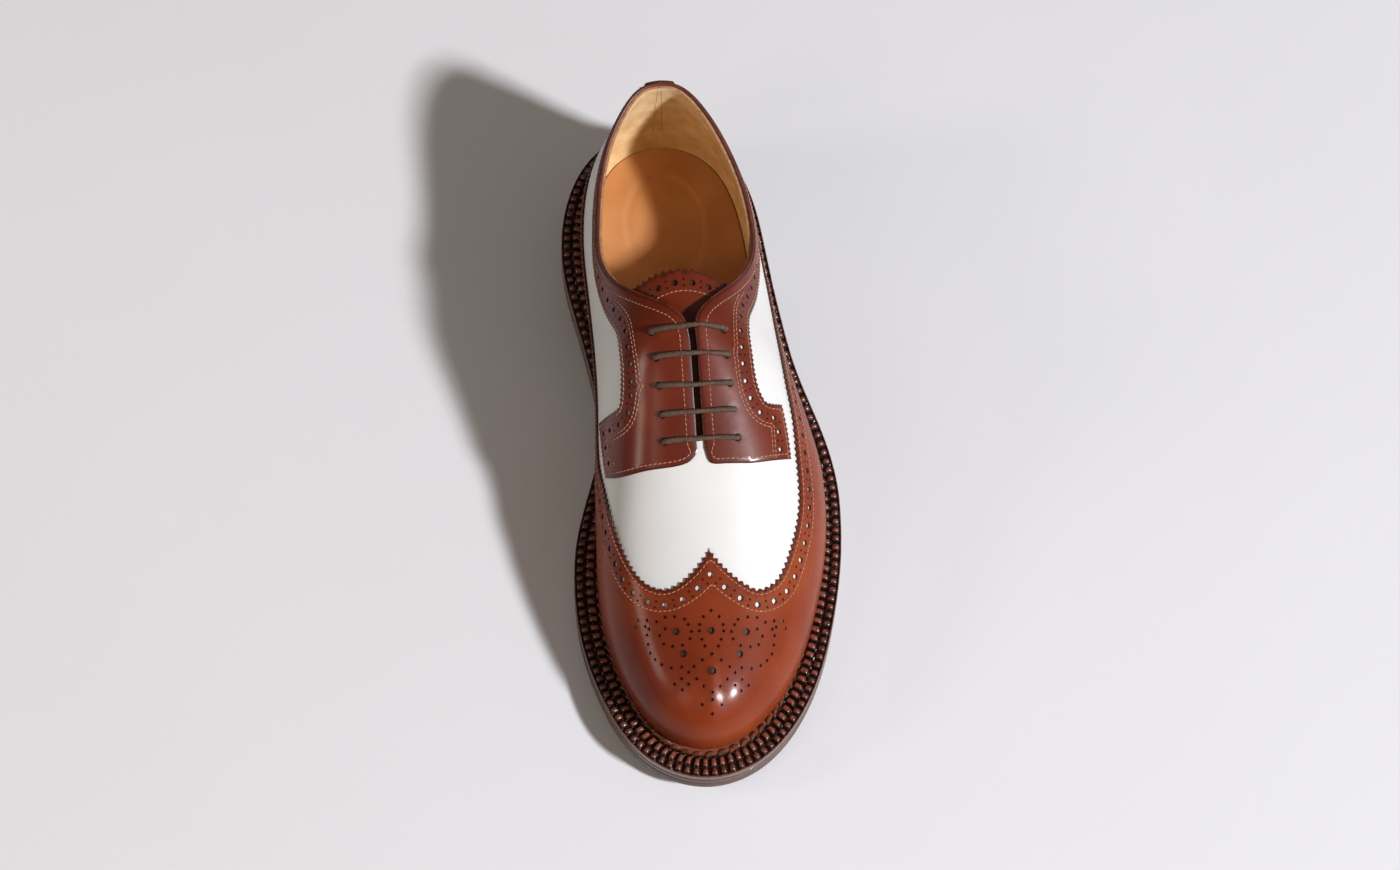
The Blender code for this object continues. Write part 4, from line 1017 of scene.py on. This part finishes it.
# medallion on the toe: distance from the middle line and place along the shoe, counted from "start"
medallion = {
    "turn": -0.075, "centre": (2.4, 255.0), "start": 10.5, "bigRadius": 1.45, "smallRadius": 0.62,
    "big": ((0, 261.0), (14.5, 260.5), (11.5, 270.0), (0, 278.0)),
    "small": (
        (0, 252.5), (0, 271.0), (0, 286.3), (0, 289.0), (0, 293.7), (3.2, 255.0), (4.8, 258.3),
        (9.5, 258.0), (11.0, 255.7), (15.1, 254.3), (19.0, 254.0), (22.5, 255.3), (26.2, 253.9),
        (30.0, 253.0), (27.0, 256.2), (25.4, 257.5), (31.0, 255.5), (19.0, 258.7), (21.2, 261.2),
        (26.3, 259.8), (19.5, 264.9), (16.0, 266.4), (11.9, 266.4), (25.9, 263.6), (25.0, 267.3),
        (23.0, 270.4), (20.2, 273.0), (16.4, 275.0), (12.2, 275.4), (7.2, 275.7), (9.4, 277.8),
        (3.8, 273.2), (2.7, 267.5), (3.9, 264.6), (8.8, 264.0), (8.2, 261.0), (5.0, 261.0),
        (6.2, 280.7), (12.3, 280.0), (15.0, 281.7), (9.5, 282.5), (12.0, 284.3), (3.1, 283.7),
        (3.8, 290.5),
    ),
}


def medallionPlan(spots):
    # both halves of the medallion as points of the plan; its middle line leans a little
    points = []
    for across, along in spots:
        for side in ((1, -1) if across else (1,)):
            lean = medallion["centre"][0] + medallion["turn"] * (along - medallion["centre"][1])
            slid = along - medallion["turn"] * side * across
            points.append((lean + side * across - middle[0], middle[1] - (slid - medallion["start"])))
    return np.array(points)


def spaced(line):
    return evenly(skin, line, spacing=overlay["spacing"])


def toothed(lines, look):
    # a piece's two edges, lateral and medial, both cut in towards its middle
    return [pinked(skin, line, look["pitch"], look["depth"], way) for line, way in zip(lines, (-1, 1))]


def wingPiece():
    halves = [spaced(smoothRun(onSide(half, side))[::-1])
              for half, side in ((lateralWing, 1), (medialWing, -1))]
    edge = np.concatenate([halves[0][::-1], halves[1][1:]])
    teeth = toothed(halves, wingBrogue)
    lowRibs = np.arange(360 - hidden, hidden, -1.5)
    lowRise = wingFoot["rise"] + wingFoot["tuckShare"] * tuck(lowRibs)
    lowShare = lowRise / np.interp(lowRibs, skinRibs, ribLength)
    outline = np.concatenate([teeth[0][::-1], teeth[1][1:], toPattern(lowRibs, lowShare)])
    centreLine = beside(skin, edge, wingBrogue["holes"])
    peak = int(np.argmin(np.linalg.norm(centreLine - halves[0][0], axis=1)))
    holes = punchedRow(skin, centreLine[peak:], wingBrogue, 0)
    holes += punchedRow(skin, centreLine[:peak + 1][::-1], wingBrogue, 0)[1:]
    for size, sides in (("big", bigSides), ("small", smallSides)):
        spots = planToPattern(medallionPlan(medallion[size]))
        holes += list(punched(skin, spots, medallion[size + "Radius"], sides))
    inner = spaced(beside(skin, edge, wingBrogue["depth"] + cutting["rollWidth"]))
    # its face darkens at its foot and round its holes as painted shade, and along its teeth as a burnished
    # edge
    thing = cutSheet("wing_cap_leather", skin, outline, holes, overlayHeights, [toeCalf, cutEdgeAndShade, rawEdge],
                     roll=overlay["roll"], extra=inner)
    finishPiece(thing, "chestnut_calf", "wing_cap")
    rows = [beside(skin, edge, amount) for amount in (wingBrogue["stitch"],) + wingBrogue["inner"]]
    threadRows("wing_cap_stitches", skin, rows, seam, linenThread, "waxed_cotton")
    patch = evenly(skin, beside(skin, edge, backing["inside"]), spacing=2.0)
    patch = patch[np.abs(fromPattern(patch)[0] - 180) < backing["reach"]]
    ends = fromPattern(patch[[-1, 0]])[0]
    patch = np.concatenate([patch, toPattern(np.arange(ends[0], ends[1], -3.0), backing["foot"])])
    under = cutSheet("medallion_backing", skin, patch, [], backing["heights"], [cutEdgeAndShade] * 3, gap=1.7)
    finishPiece(under, "chestnut_calf")


def facingPiece(side):
    facing = facings[side]
    collar = [(a, 0.9995) for a in (hidden, 25, 40, 55, 70, 81, 92, 103, 113.6)]
    hem = smoothRun(onSide(collar, side))
    front, foot, back = (smoothRun(onSide(facing[key], side)) for key in ("front", "foot", "back"))
    teeth = [pinked(skin, spaced(line), facingBrogue["pitch"], facingBrogue["depth"], side)[:-1]
             for line in (foot, back)]
    outline = np.concatenate([evenly(skin, line, spacing=1.5)[:-1] for line in (hem, front)] + teeth)
    band = spaced(np.concatenate([foot[:-1], back]))
    centreLine = beside(skin, band, facingBrogue["holes"] * side)
    rib, share = fromPattern(centreLine)
    centreLine = centreLine[(fromHeel(rib) > hidden + 3) & (share < 0.955)]  # off the strip and the top line
    holes = punchedRow(skin, centreLine, facingBrogue) + eyeletHoles[side]
    rolled = ((band, facingBrogue["depth"] + cutting["rollWidth"]),
              (np.concatenate([hem[:-1], front]), cutting["rollWidth"]))
    inner = np.concatenate([spaced(beside(skin, line, amount * side)) for line, amount in rolled])
    thing = cutSheet(facing["name"] + "_leather", skin, outline, holes, overlayHeights,
                     [chestnutCalf, cutEdgeAndShade, rawEdge], roll=overlay["roll"], extra=inner)
    finishPiece(thing, "chestnut_calf", facing["name"])
    rows = [beside(skin, band, facingBrogue["stitch"] * side)]
    for amount in facingBrogue["inner"]:  # these two seams end where the collar band begins
        line = beside(skin, band, amount * side)
        rib, share = fromPattern(line)
        rows.append(line[(fromHeel(rib) > 80) & (share < 0.93)])
    edge = spaced(np.concatenate([hem[:-1], front[:-1]]))
    rows.append(beside(skin, edge, facingBrogue["hem"] * side))
    threadRows(facing["name"] + "_stitches", skin, rows, seam, linenThread, "waxed_cotton")


heelStrip = {
    # rib angle and share down one side
    "half": ((9.6, 0.994), (8.2, 0.860), (6.6, 0.600), (7.0, 0.300), (9.4, 0.080), (9.6, 0.015)),
    "pitch": 2.1, "depth": 0.8, "stitch": 2.2, "heights": (1.25, 2.3),
}


def heelStripPiece():
    half = heelStrip["half"]
    lines = [spaced(smoothRun(onSide(half, side))) for side in (1, -1)]
    teeth = toothed(lines, heelStrip)
    ribs = np.arange(8.4, -8.5, -1.4)
    ends = toPattern(ribs, half[-1][1]), toPattern(-ribs, half[0][1])
    outline = np.concatenate([teeth[0], ends[0], teeth[1][::-1], ends[1]])
    thing = cutSheet("heel_strip_leather", skin, outline, [], heelStrip["heights"],
                     [chestnutCalf, cutEdgeAndShade, rawEdge], roll=overlay["roll"])
    finishPiece(thing, "chestnut_calf", "heel_strip")
    rows = [beside(skin, line, way * heelStrip["stitch"])[3:-3] for line, way in zip(lines, (-1, 1))]
    threadRows("heel_strip_stitches", skin, rows, {**seam, "height": heelStrip["heights"][1]}, linenThread,
               "waxed_cotton")


wingPiece()
for side in (1, -1):
    facingPiece(side)
heelStripPiece()

print("top line bead")

bead = {"radius": 0.75, "inwards": 0.15, "up": 0.2, "sides": 10, "reach": 94.0}
beadRibs = np.arange(-bead["reach"], bead["reach"] + 0.5, 1.0)
beadPlace = lookUp(skinPlace, beadRibs, 1.0)
beadOut = unit(lookUp(skinNormal, beadRibs, 1.0))
beadLine = beadPlace - beadOut * bead["inwards"] + (0, 0, bead["up"])
finishPiece(tube("top_line_bead", beadLine, bead["radius"], bead["sides"], beadLeather), "chestnut_calf")
print("  %.0f mm of cord" % runOf(beadLine)[-1])

print("tongue")

tongue = {
    "pitch": 3.3, "depth": 1.6, "holes": 7.0, "radius": 1.35, "spacing": 7.6, "pinRadius": 0.45,
    "pinAside": 1.5, "stitch": 11.0, "crown": 3.2, "liningShort": 3.0, "leather": 1.2, "lining": 1.25,
    # along, across, crest, half width and fall of the edges, as on the top line
    "rows": (
        (0.3483, 0.000, 0.8768, 0.200, 0.090), (0.3707, 0.010, 0.8938, 0.215, 0.115),
        (0.4017, 0.025, 0.9103, 0.230, 0.135), (0.4259, 0.032, 0.9174, 0.240, 0.135),
        (0.4466, 0.035, 0.9274, 0.245, 0.135), (0.4810, 0.035, 0.9077, 0.250, 0.120),
        (0.5155, 0.035, 0.8748, 0.250, 0.090), (0.5500, 0.035, 0.8329, 0.250, 0.080),
        (0.5845, 0.035, 0.7826, 0.240, 0.074), (0.6190, 0.035, 0.7253, 0.220, 0.062),
        (0.6431, 0.035, 0.6875, 0.190, 0.050),
    ),
}
tongueCurves = columns(tongue["rows"])


def tongueHeight(points):
    along = middle[1] - points[:, 1]
    station = along / last["length"]
    across, crest, half, fall = (curve(station) for curve in tongueCurves)
    way = ((points[:, 0] + middle[0]) / last["ballWidth"] - across) / half
    return featherHeight(along) + crest * last["instepRise"] - fall * last["ballWidth"] * way**2


def tongueForm(points):
    points = np.atleast_2d(points)
    step = 0.5
    slope = [(tongueHeight(points + way) - tongueHeight(points - way)) / (2 * step)
             for way in ((step, 0), (0, step))]
    normal = unit(np.column_stack([-slope[0], -slope[1], np.ones(len(points))]))
    return np.column_stack([points, tongueHeight(points)]), normal


def tonguePiece():
    stations = np.linspace(tongue["rows"][0][0], tongue["rows"][-1][0], 60)
    across, _, half, _ = (curve(stations) for curve in tongueCurves)
    sides = {}
    for way in (-1, 1):
        x = (across + way * half) * last["ballWidth"] - middle[0]
        sides[way] = np.column_stack([x, middle[1] - stations * last["length"]])
    x = np.linspace(sides[-1][0, 0], sides[1][0, 0], 80)
    end = np.column_stack([x, np.full(80, sides[1][0, 1]) - tongue["crown"] * np.linspace(-1, 1, 80)**2])
    sides = {way: line[line[:, 1] < end[0, 1]] for way, line in sides.items()}
    teeth = pinked(tongueForm, end, tongue["pitch"], tongue["depth"], -1)
    flanks = np.concatenate([sides[1], sides[-1][::-1]])
    holes = punchedRow(tongueForm, beside(tongueForm, end, -tongue["holes"]), tongue)
    thing = cutSheet("tongue_leather", tongueForm, np.concatenate([teeth, flanks]), holes,
                     (-tongue["leather"], 0.0), [chestnutCalf, cutEdgeAndShade, rawEdge], gap=2.2, roll=0.2)
    finishPiece(thing, "chestnut_calf", "tongue")
    outline = np.concatenate([end - (0, tongue["liningShort"]), flanks])
    # its face, seen only through the tongue's holes, is near black as painted shade; its underside is the tan
    # lining
    back = cutSheet("tongue_lining", tongueForm, outline, [], (-wall["whole"], -tongue["lining"]),
                    [cutEdgeAndShade, rawEdge, tanLining], gap=3.0)
    finishPiece(back, "tan_lining")
    rows = [beside(tongueForm, end, -tongue["stitch"])]
    threadRows("tongue_stitches", tongueForm, rows, {**seam, "height": 0.0}, linenThread, "waxed_cotton")


tonguePiece()

print("lace")

lace = {
    "radius": 1.2, "over": 0.1, "shoulder": 1.4, "sidestep": 0.045, "edgeShare": 0.992, "under": 0.7,
    "sides": 12, "edgeRibs": np.linspace(88, 116, 57), "throat": (88, 112), "throatMiddle": (1.5, 0),
    # its thickness over the throat, where it is pulled tight, what it gains by the holes, and how far from it
    "pulled": 0.84, "gain": 0.2, "gainBy": 10,
    "braid": {"pitch": 1.8, "relief": 0.07, "strands": 3},
    # from one hidden end to the other: side, row
    "way": ((-1, 0), (1, 0), (1, 2), (-1, 2), (-1, 4), (1, 4), (1, 3), (-1, 3), (-1, 1), (1, 1)),
}


def lifted(rib, share, lift):
    rib, share = np.atleast_1d(float(rib)), np.atleast_1d(float(share))
    return (lookUp(skinPlace, rib, share) + unit(lookUp(skinNormal, rib, np.minimum(share, 0.985))) * lift)[0]


def laceRoute():
    under = -(wall["whole"] + lace["under"] + lace["radius"])
    over = overlay["high"] + lace["over"] + lace["radius"]
    line = [lifted(*eyeletSpot(*lace["way"][0]), under)]
    for (side, row), (nextSide, nextRow) in zip(lace["way"], lace["way"][1:]):
        here, there = eyeletSpot(side, row), eyeletSpot(nextSide, nextRow)
        if side == nextSide:  # hidden run between upper and tongue, a long one keeps off the throat
            aside = lace["sidestep"] * abs(nextRow - row) if abs(nextRow - row) > 1 else 0.0
            line.append(lifted(*here, under))
            for part in (0.3, 0.7):
                rib, share = (a + (b - a) * part for a, b in zip(here, there))
                line.append(lifted(rib, share - aside, under))
            line.append(lifted(*there, under))
            continue
        acrossY = lifted(*here, 0.0)[1]
        half = {}  # the bar over the throat, from each hole up to the facing's edge
        for barSide, spot in ((side, here), (nextSide, there)):
            ribs = lace["edgeRibs"] if barSide > 0 else 360 - lace["edgeRibs"]
            edgeY = lookUp(skinPlace, ribs, np.ones(len(ribs)))[:, 1]
            edge = float(np.interp(-acrossY, -edgeY, ribs))
            half[barSide] = [lifted(*spot, over - lace["shoulder"]), lifted(*spot, over),
                             lifted((spot[0] + edge) / 2, (spot[1] + lace["edgeShare"]) / 2, over),
                             lifted(edge, lace["edgeShare"], over)]
        line += half[side] + half[nextSide][::-1]
    return line + [lifted(*eyeletSpot(*lace["way"][-1]), under)]


laceLine = throughPoints(laceRoute(), 0.4)
print("  %.0f mm of cord" % runOf(laceLine)[-1])
throat = lookUp(skinPlace, np.linspace(*lace["throat"], 49), 1.0)[:, :2] + lace["throatMiddle"]
swell = lace["pulled"] + lace["gain"] * ease(distanceTo(laceLine[:, :2], throat) / lace["gainBy"])
cord = tube("lace_cord", laceLine, lace["radius"] * swell, lace["sides"], waxedCotton, braid=lace["braid"])
finishPiece(cord, "waxed_cotton", "lace")

print("welt")

welt = {
    "step": 0.5, "rim": 0.7, "rimRise": 0.3,
    # rows of the braid, from the edge inwards: where a row starts and ends, how far apart its blocks are, how
    # high they stand, how much of the pitch the slot between two takes, how they lean and how square they are
    "rows": (
        {"start": 0.8, "end": 4.6, "pitch": 4.2, "rise": 1.25, "slot": 0.24, "lean": 0.0, "square": 2.4},
        {"start": 4.8, "end": 9.3, "pitch": 4.4, "rise": 1.5, "slot": 0.28, "lean": 0.1, "square": 3.4},
    ),
    "valley": -0.7, "lipStart": 9.5, "lipRise": 2.0, "lipWidth": 1.2, "lipSunk": 0.3,
    "fade": 1.5, "foot": 0.1,  # how near the upper the braid runs out, and how steeply it then falls
    # its outer edge, as distance inwards and height, then the lines over its top and how far the first are
    # cut down, and the tones of the edge and the rim, and the rise at which the braid's painted light is full
    "edge": ((0.5, 0.0), (0.1, 0.12), (0.0, 0.5), (0.0, sole["welt"] - 0.4)),
    "top": np.concatenate([[0.0, 0.12, 0.45], np.linspace(0.9, 12.4, 30), np.linspace(12.9, 18.0, 8)]),
    "rounded": (0.4, 0.12), "edgeTone": 0.8, "rimTone": 0.75, "toneTop": 1.5,
    "stitchAt": 10.5, "stitchFrom": 1.5, "stitchSunk": 0.2,
    "stitch": {"pitch": 5.2, "fill": 0.98, "radius": 0.85, "height": 0.0, "slant": 0.3},
}
edgeRibs = np.arange(0.0, 360.01, 0.25)
edgeRun = runOf(offsetLine(edgeRibs, soleReach(edgeRibs)))
perimeter = edgeRun[-1]
print("  %.0f mm round" % perimeter)


def weltRise(run, inward, room):
    # height of the braid over the welt's flat, and how deep in a slot a point lies
    rise = np.where(inward < welt["rim"], welt["rimRise"], welt["valley"])
    for row in welt["rows"]:
        share = (inward - row["start"]) / (row["end"] - row["start"])
        count = round(perimeter / row["pitch"])
        phase = np.mod(run / perimeter * count + row["lean"] * share, 1.0)
        off = np.clip(np.abs(2 * phase - 1) / (1 - row["slot"]), 0, 1)
        crown = np.sqrt((1 - off**row["square"]) * (1 - np.abs(2 * np.clip(share, 0, 1) - 1)**row["square"]))
        here = (share > 0) & (share < 1)
        top = welt["valley"] + (row["rise"] - welt["valley"]) * crown
        rise = np.where(here, np.maximum(rise, top), rise)
    lip = welt["lipRise"] * ease((inward - welt["lipStart"]) / welt["lipWidth"]) - welt["lipSunk"]
    rise = np.where(inward > welt["lipStart"], np.maximum(rise, lip), rise)
    return rise * ease(room / welt["fade"]) + np.minimum(room - welt["fade"], 0) * welt["foot"]


def weltPlace(run, inward, rise):
    rib = np.interp(np.mod(run, perimeter), edgeRun, edgeRibs)
    line = offsetLine(rib, soleReach(rib) - inward)
    return inFrame(np.concatenate([line, (weltLow(line[..., 1]) + rise)[..., None]], -1))


def weltForm(points):
    # the ridge beside the upper's foot, as a pattern of run along the edge and distance inwards
    points = np.atleast_2d(points)
    place = weltPlace(points[:, 0], points[:, 1], sole["welt"] + welt["lipRise"] - welt["stitchSunk"])
    return place, np.tile((0.0, 0.0, 1.0), (len(points), 1))


def weltPiece():
    count = int(perimeter / welt["step"])
    run = np.arange(count) * perimeter / count
    rib = np.interp(run, edgeRun, edgeRibs)
    width = soleReach(rib) + tuck(rib) + sole["seat"]
    strips = [weltPlace(run, np.full(count, inward), height) for inward, height in welt["edge"]]
    rises = [np.full(count, welt["edgeTone"])] * len(strips)
    top = welt["top"]
    cutDown = np.append(welt["rounded"], np.zeros(len(top) - 2))
    for k, inward in enumerate(top):
        inward = np.minimum(inward, width - (len(top) - 1 - k) * 0.02)
        room = width - sole["seat"] - inward
        rise = weltRise(run, inward, np.maximum(room, 0)) - cutDown[k]
        strips.append(weltPlace(run, inward, sole["welt"] + rise))
        # tone by height: painted shade in the slots, painted light on the tops; the rim and the edge keep
        # their own tones
        tone = (rise - welt["valley"]) / (welt["toneTop"] - welt["valley"])
        rises.append(np.where(inward < welt["rim"], welt["rimTone"], tone))
    strips.append(weltPlace(run, width, 0.0))
    rises.append(np.zeros(count))
    faces = gridFaces(count, len(strips), closed=True).tolist()
    thing = newObject("welt_braid", np.stack(strips, 1).reshape(-1, 3), faces, [weltLeather])
    setAttribute(thing, "rise", np.stack(rises, 1).ravel())
    finishPiece(thing, "welt_leather", "welt")
    along = np.arange(0.0, perimeter, 1.0)
    line = np.column_stack([along, np.full(len(along), welt["stitchAt"])])
    seen = soleReach(np.interp(along, edgeRun, edgeRibs)) > welt["stitchAt"] - welt["stitchFrom"]
    threadRows("welt_stitches", weltForm, [line[seen]], welt["stitch"], weltThread, "welt_leather")
    print("  %.0f to %.0f mm wide" % (width.min(), width.max()))


weltPiece()

print("sole and heel")


def soleLayer(name, ribs, reach, low, high, profile, material, slot, node):
    # a layer under the foot: sections from medial to lateral, each with the same edge profile.
    # profile rows are the inset, the share of the layer's height and what is added to it
    across = 10
    loops = []
    rows = np.array(profile)
    for rib in ribs:
        edges = []
        for angle in (rib, 360 - rib):
            line = offsetLine(np.full(len(rows), angle), reach(np.full(len(rows), angle)) - rows[:, 0])
            bottom, top = low(line[:, 1]), high(line[:, 1])
            edges.append(np.column_stack([line, bottom + (top - bottom) * rows[:, 1] + rows[:, 2]]))
        lateral, medial = edges
        share = np.linspace(0, 1, across)[1:-1, None]
        loops.append(np.concatenate([medial[::-1], medial[0] * (1 - share) + lateral[0] * share, lateral,
                                     lateral[-1] * (1 - share) + medial[-1] * share]))
    count, size = len(loops), len(loops[0])
    faces = gridFaces(count, size).tolist()
    if ribs[-1] < 180:
        faces.append([(count - 1) * size + k for k in range(size)])
    thing = newObject(name, inFrame(np.concatenate(loops)), faces, [material])
    cleaned(thing)
    finishPiece(thing, slot, node)


wholeFoot = np.arange(0.0, 180.1, 1.5)
# inset, share of the layer's height and what is added to it, from its underside to its top
roundedEdge = ((1.0, 0, 0.0), (0.35, 0, 0.1), (0.08, 0, 0.4), (0.0, 0, 0.9), (0.0, 1, -0.5), (0.06, 1, -0.22),
               (0.25, 1, -0.05), (0.7, 1, 0.0))
soleLayer("outsole_leather", wholeFoot, soleReach, soleLow,
          lambda along: soleLow(along) + sole["outsole"],
          roundedEdge, soleLeather, "sole_leather", "outsole")
soleLayer("midsole_leather", wholeFoot, soleReach, midsoleLow,
          lambda along: midsoleLow(along) + sole["midsole"],
          roundedEdge, soleEdge, "dark_edge_leather", "midsole")

heelRibs = np.linspace(0.0, math.degrees(math.acos(1 - 2 * sole["heelLength"] / last["length"])), 50)
liftJoint = sole["heelTaper"] * (1 - sole["topLift"] / last["heelHeight"])
liftLines = [(liftJoint, 0, 0.0)]
for k in (1, 2):  # three lifts of leather, their joints just showing in the polished edge
    taper = liftJoint * (1 - k / 3)
    liftLines += [(taper + 0.02, k / 3, -0.35), (taper + 0.14, k / 3, -0.12), (taper + 0.02, k / 3, 0.1)]
liftLines += [(0.0, 1, -0.4), (0.3, 1, 0.0)]
heelFoot = sole["heelTaper"]
topLiftLines = ((heelFoot + 0.7, 0, 0.0), (heelFoot + 0.1, 0, 0.25), (heelFoot, 0, 0.8),
                (liftJoint, 1, -0.3), (liftJoint + 0.2, 1, 0.0))


def heelReach(rib):
    return soleReach(rib) - sole["heelSetback"]


soleLayer("heel_stack_leather", heelRibs, heelReach,
          lambda along: np.full_like(along, sole["topLift"] + sole["gap"]),
          lambda along: soleLow(along) - sole["gap"],
          liftLines, soleEdge, "dark_edge_leather", "heel_stack")
soleLayer("heel_top_lift_rubber", heelRibs, heelReach, lambda along: np.zeros_like(along),
          lambda along: np.full_like(along, sole["topLift"]),
          topLiftLines, heelRubber, "rubber", "heel_top_lift")

print("insole")

insole = {
    "dish": 0.9, "dishWidth": 20, "thick": 3.0, "wall": 2.05,
    # the heel pad under the sock shows as a faint oval: where, how long and wide, how deep
    "heelPad": (17.0, 26.0), "heelPadAt": (0.5, 44.0), "padDepth": 0.5, "padSlope": 0.2, "padGroove": 0.9,
}


def insoleTop(along):
    return featherHeight(along) + sole["insoleRise"]


def innerWall(rib):
    # where the lining meets the insole's top, in the frame
    shares = np.linspace(0, 0.25, 60)
    out = unit(lookUp(skinNormal, rib, np.maximum(shares, 0.02)))
    inner = lookUp(skinPlace, rib, shares) - out * insole["wall"]
    above = inner[:, 2] - insoleTop(middle[1] - inner[:, 1])
    k = int(np.argmax(above > 0))
    if k == 0:
        return inner[0]
    share = above[k - 1] / (above[k - 1] - above[k])
    return inner[k - 1] * (1 - share) + inner[k] * share


def insolePiece():
    ways = np.sin(np.radians(np.linspace(-90, 90, 73)))
    loops, marks = [], []
    for rib in np.arange(0.0, 180.1, 1.0):
        lateral, medial = innerWall(rib), innerWall(360 - rib)
        centre, half = (lateral + medial) / 2, (lateral - medial) / 2
        row = centre + half * ways[:, None]
        width = np.linalg.norm(half[:2])
        hollow = insole["dish"] * (1 - ways**2) * min(width / insole["dishWidth"], 1)
        padX, padY = insole["heelPadAt"]
        pad = np.hypot((row[:, 0] + middle[0] - padX) / insole["heelPad"][0],
                       (middle[1] - row[:, 1] - padY) / insole["heelPad"][1])
        groove = insole["padGroove"] * np.exp(-((pad - 1) / 0.07)**2)
        hollow += insole["padDepth"] * (ease((1.1 - pad) / insole["padSlope"]) + groove)
        row[:, 2] = insoleTop(middle[1] - row[:, 1]) - hollow
        under = row[[-1, 0]] - (0, 0, insole["thick"])
        loops.append(np.concatenate([row, under]))
        # how far from the side walls: the insole darkens there as painted shade where it meets the lining
        marks.append(np.concatenate([(1 - np.abs(ways)) * width, [0, 0]]))
    faces = gridFaces(len(loops), len(loops[0]))[:, [0, 3, 2, 1]].tolist()
    thing = newObject("insole_sock", np.concatenate(loops), faces, [insoleLeather])
    setAttribute(thing, "edgeGap", np.concatenate(marks))
    cleaned(thing)
    finishPiece(thing, "tan_lining", "insole")


insolePiece()

print("studio: floor, lights and camera")


# place round the shoe in degrees, distance and size in metres, power in watts
lights = {
    "key": {"azimuth": -39, "elevation": 41, "distance": 4.6, "size": 0.4, "power": 272, "tint": "#f9faff"},
    "front": {"azimuth": 217, "elevation": 42, "distance": 2.6, "size": 0.8, "power": 5.5, "tint": "#fff0e2"},
    "side": {"azimuth": 186, "elevation": 30, "distance": 2.4, "size": 0.45, "power": 7.5, "tint": "#fff0e2"},
}
room = {"tint": "#f4e6dc", "brightWay": (0.78, -0.22, 0.58), "dim": 0.01, "bright": 0.26, "floorHalf": 4000.0}


def studio():
    half = room["floorHalf"]
    corners = np.array([(-half, -half, 0), (half, -half, 0), (half, half, 0), (-half, half, 0)])
    newObject("floor", corners, [(0, 1, 2, 3)], [paleFloor])
    for name, light in lights.items():
        data = bpy.data.lights.new(name, "AREA")
        data.shape = "SQUARE"
        data.size = light["size"]
        data.energy = light["power"]
        data.color = toLinear(light["tint"])[:3]
        thing = bpy.data.objects.new(name, data)
        turn, rise = math.radians(light["azimuth"]), math.radians(light["elevation"])
        way = Vector((math.cos(turn) * math.cos(rise), math.sin(turn) * math.cos(rise), math.sin(rise)))
        thing.location = way * light["distance"]
        thing.rotation_euler = way.to_track_quat("Z", "Y").to_euler()
        bpy.context.scene.collection.objects.link(thing)
    world = bpy.data.worlds.new("studio")
    world.use_nodes = True
    tree = world.node_tree  # a room that is lit on the key's side and dim behind the shoe's inner side
    where = addNode(tree, "TexCoord")
    side = addNode(tree, "VectorMath", {"operation": "DOT_PRODUCT", 1: room["brightWay"]},
                   {0: (where, "Generated")})
    level = addNode(tree, "MapRange", {
        "From Min": -0.3, "From Max": 1.0, "To Min": room["dim"], "To Max": room["bright"]},
        {"Value": (side, "Value")})
    setNode(tree, tree.nodes["Background"], {"Color": toLinear(room["tint"])},
            {"Strength": (level, "Result")})
    bpy.context.scene.world = world
    bpy.context.scene.view_settings.view_transform = "Standard"


studio()

# the photograph's camera, fitted to the shoe and then turned to face its middle: focal length, width and aim
# are in the photograph's pixels
view = {
    "place": (-114.1, -791.0, 1599.0), "elevation": 62.75, "azimuth": -3.90, "roll": 0.46,
    "focal": 4018.0, "width": 1400.0, "aim": (137.0, 18.0), "sensor": 36.0,
}


def makeCamera():
    rise, turn, roll = (math.radians(view[key]) for key in ("elevation", "azimuth", "roll"))
    forward = -np.array([math.sin(turn) * math.cos(rise), -math.cos(turn) * math.cos(rise), math.sin(rise)])
    right = unit(np.cross(forward, [0, 0, 1.0]))
    down = np.cross(forward, right)
    right = math.cos(roll) * right + math.sin(roll) * down
    down = np.cross(forward, right)
    forward = unit(forward + (view["aim"][0] * right + view["aim"][1] * down) / view["focal"])
    right = unit(right - right.dot(forward) * forward)
    down = np.cross(forward, right)
    data = bpy.data.cameras.new("camera")
    data.sensor_width = view["sensor"]
    data.lens = view["focal"] / view["width"] * data.sensor_width
    data.clip_start, data.clip_end = 0.05, 20.0
    camera = bpy.data.objects.new("camera", data)
    axes = np.eye(4)
    axes[:3, 0], axes[:3, 1], axes[:3, 2] = right, -down, -forward
    axes[:3, 3] = np.array(view["place"]) * metre
    camera.matrix_world = Matrix(axes.tolist())
    bpy.context.scene.collection.objects.link(camera)
    bpy.context.scene.camera = camera


makeCamera()
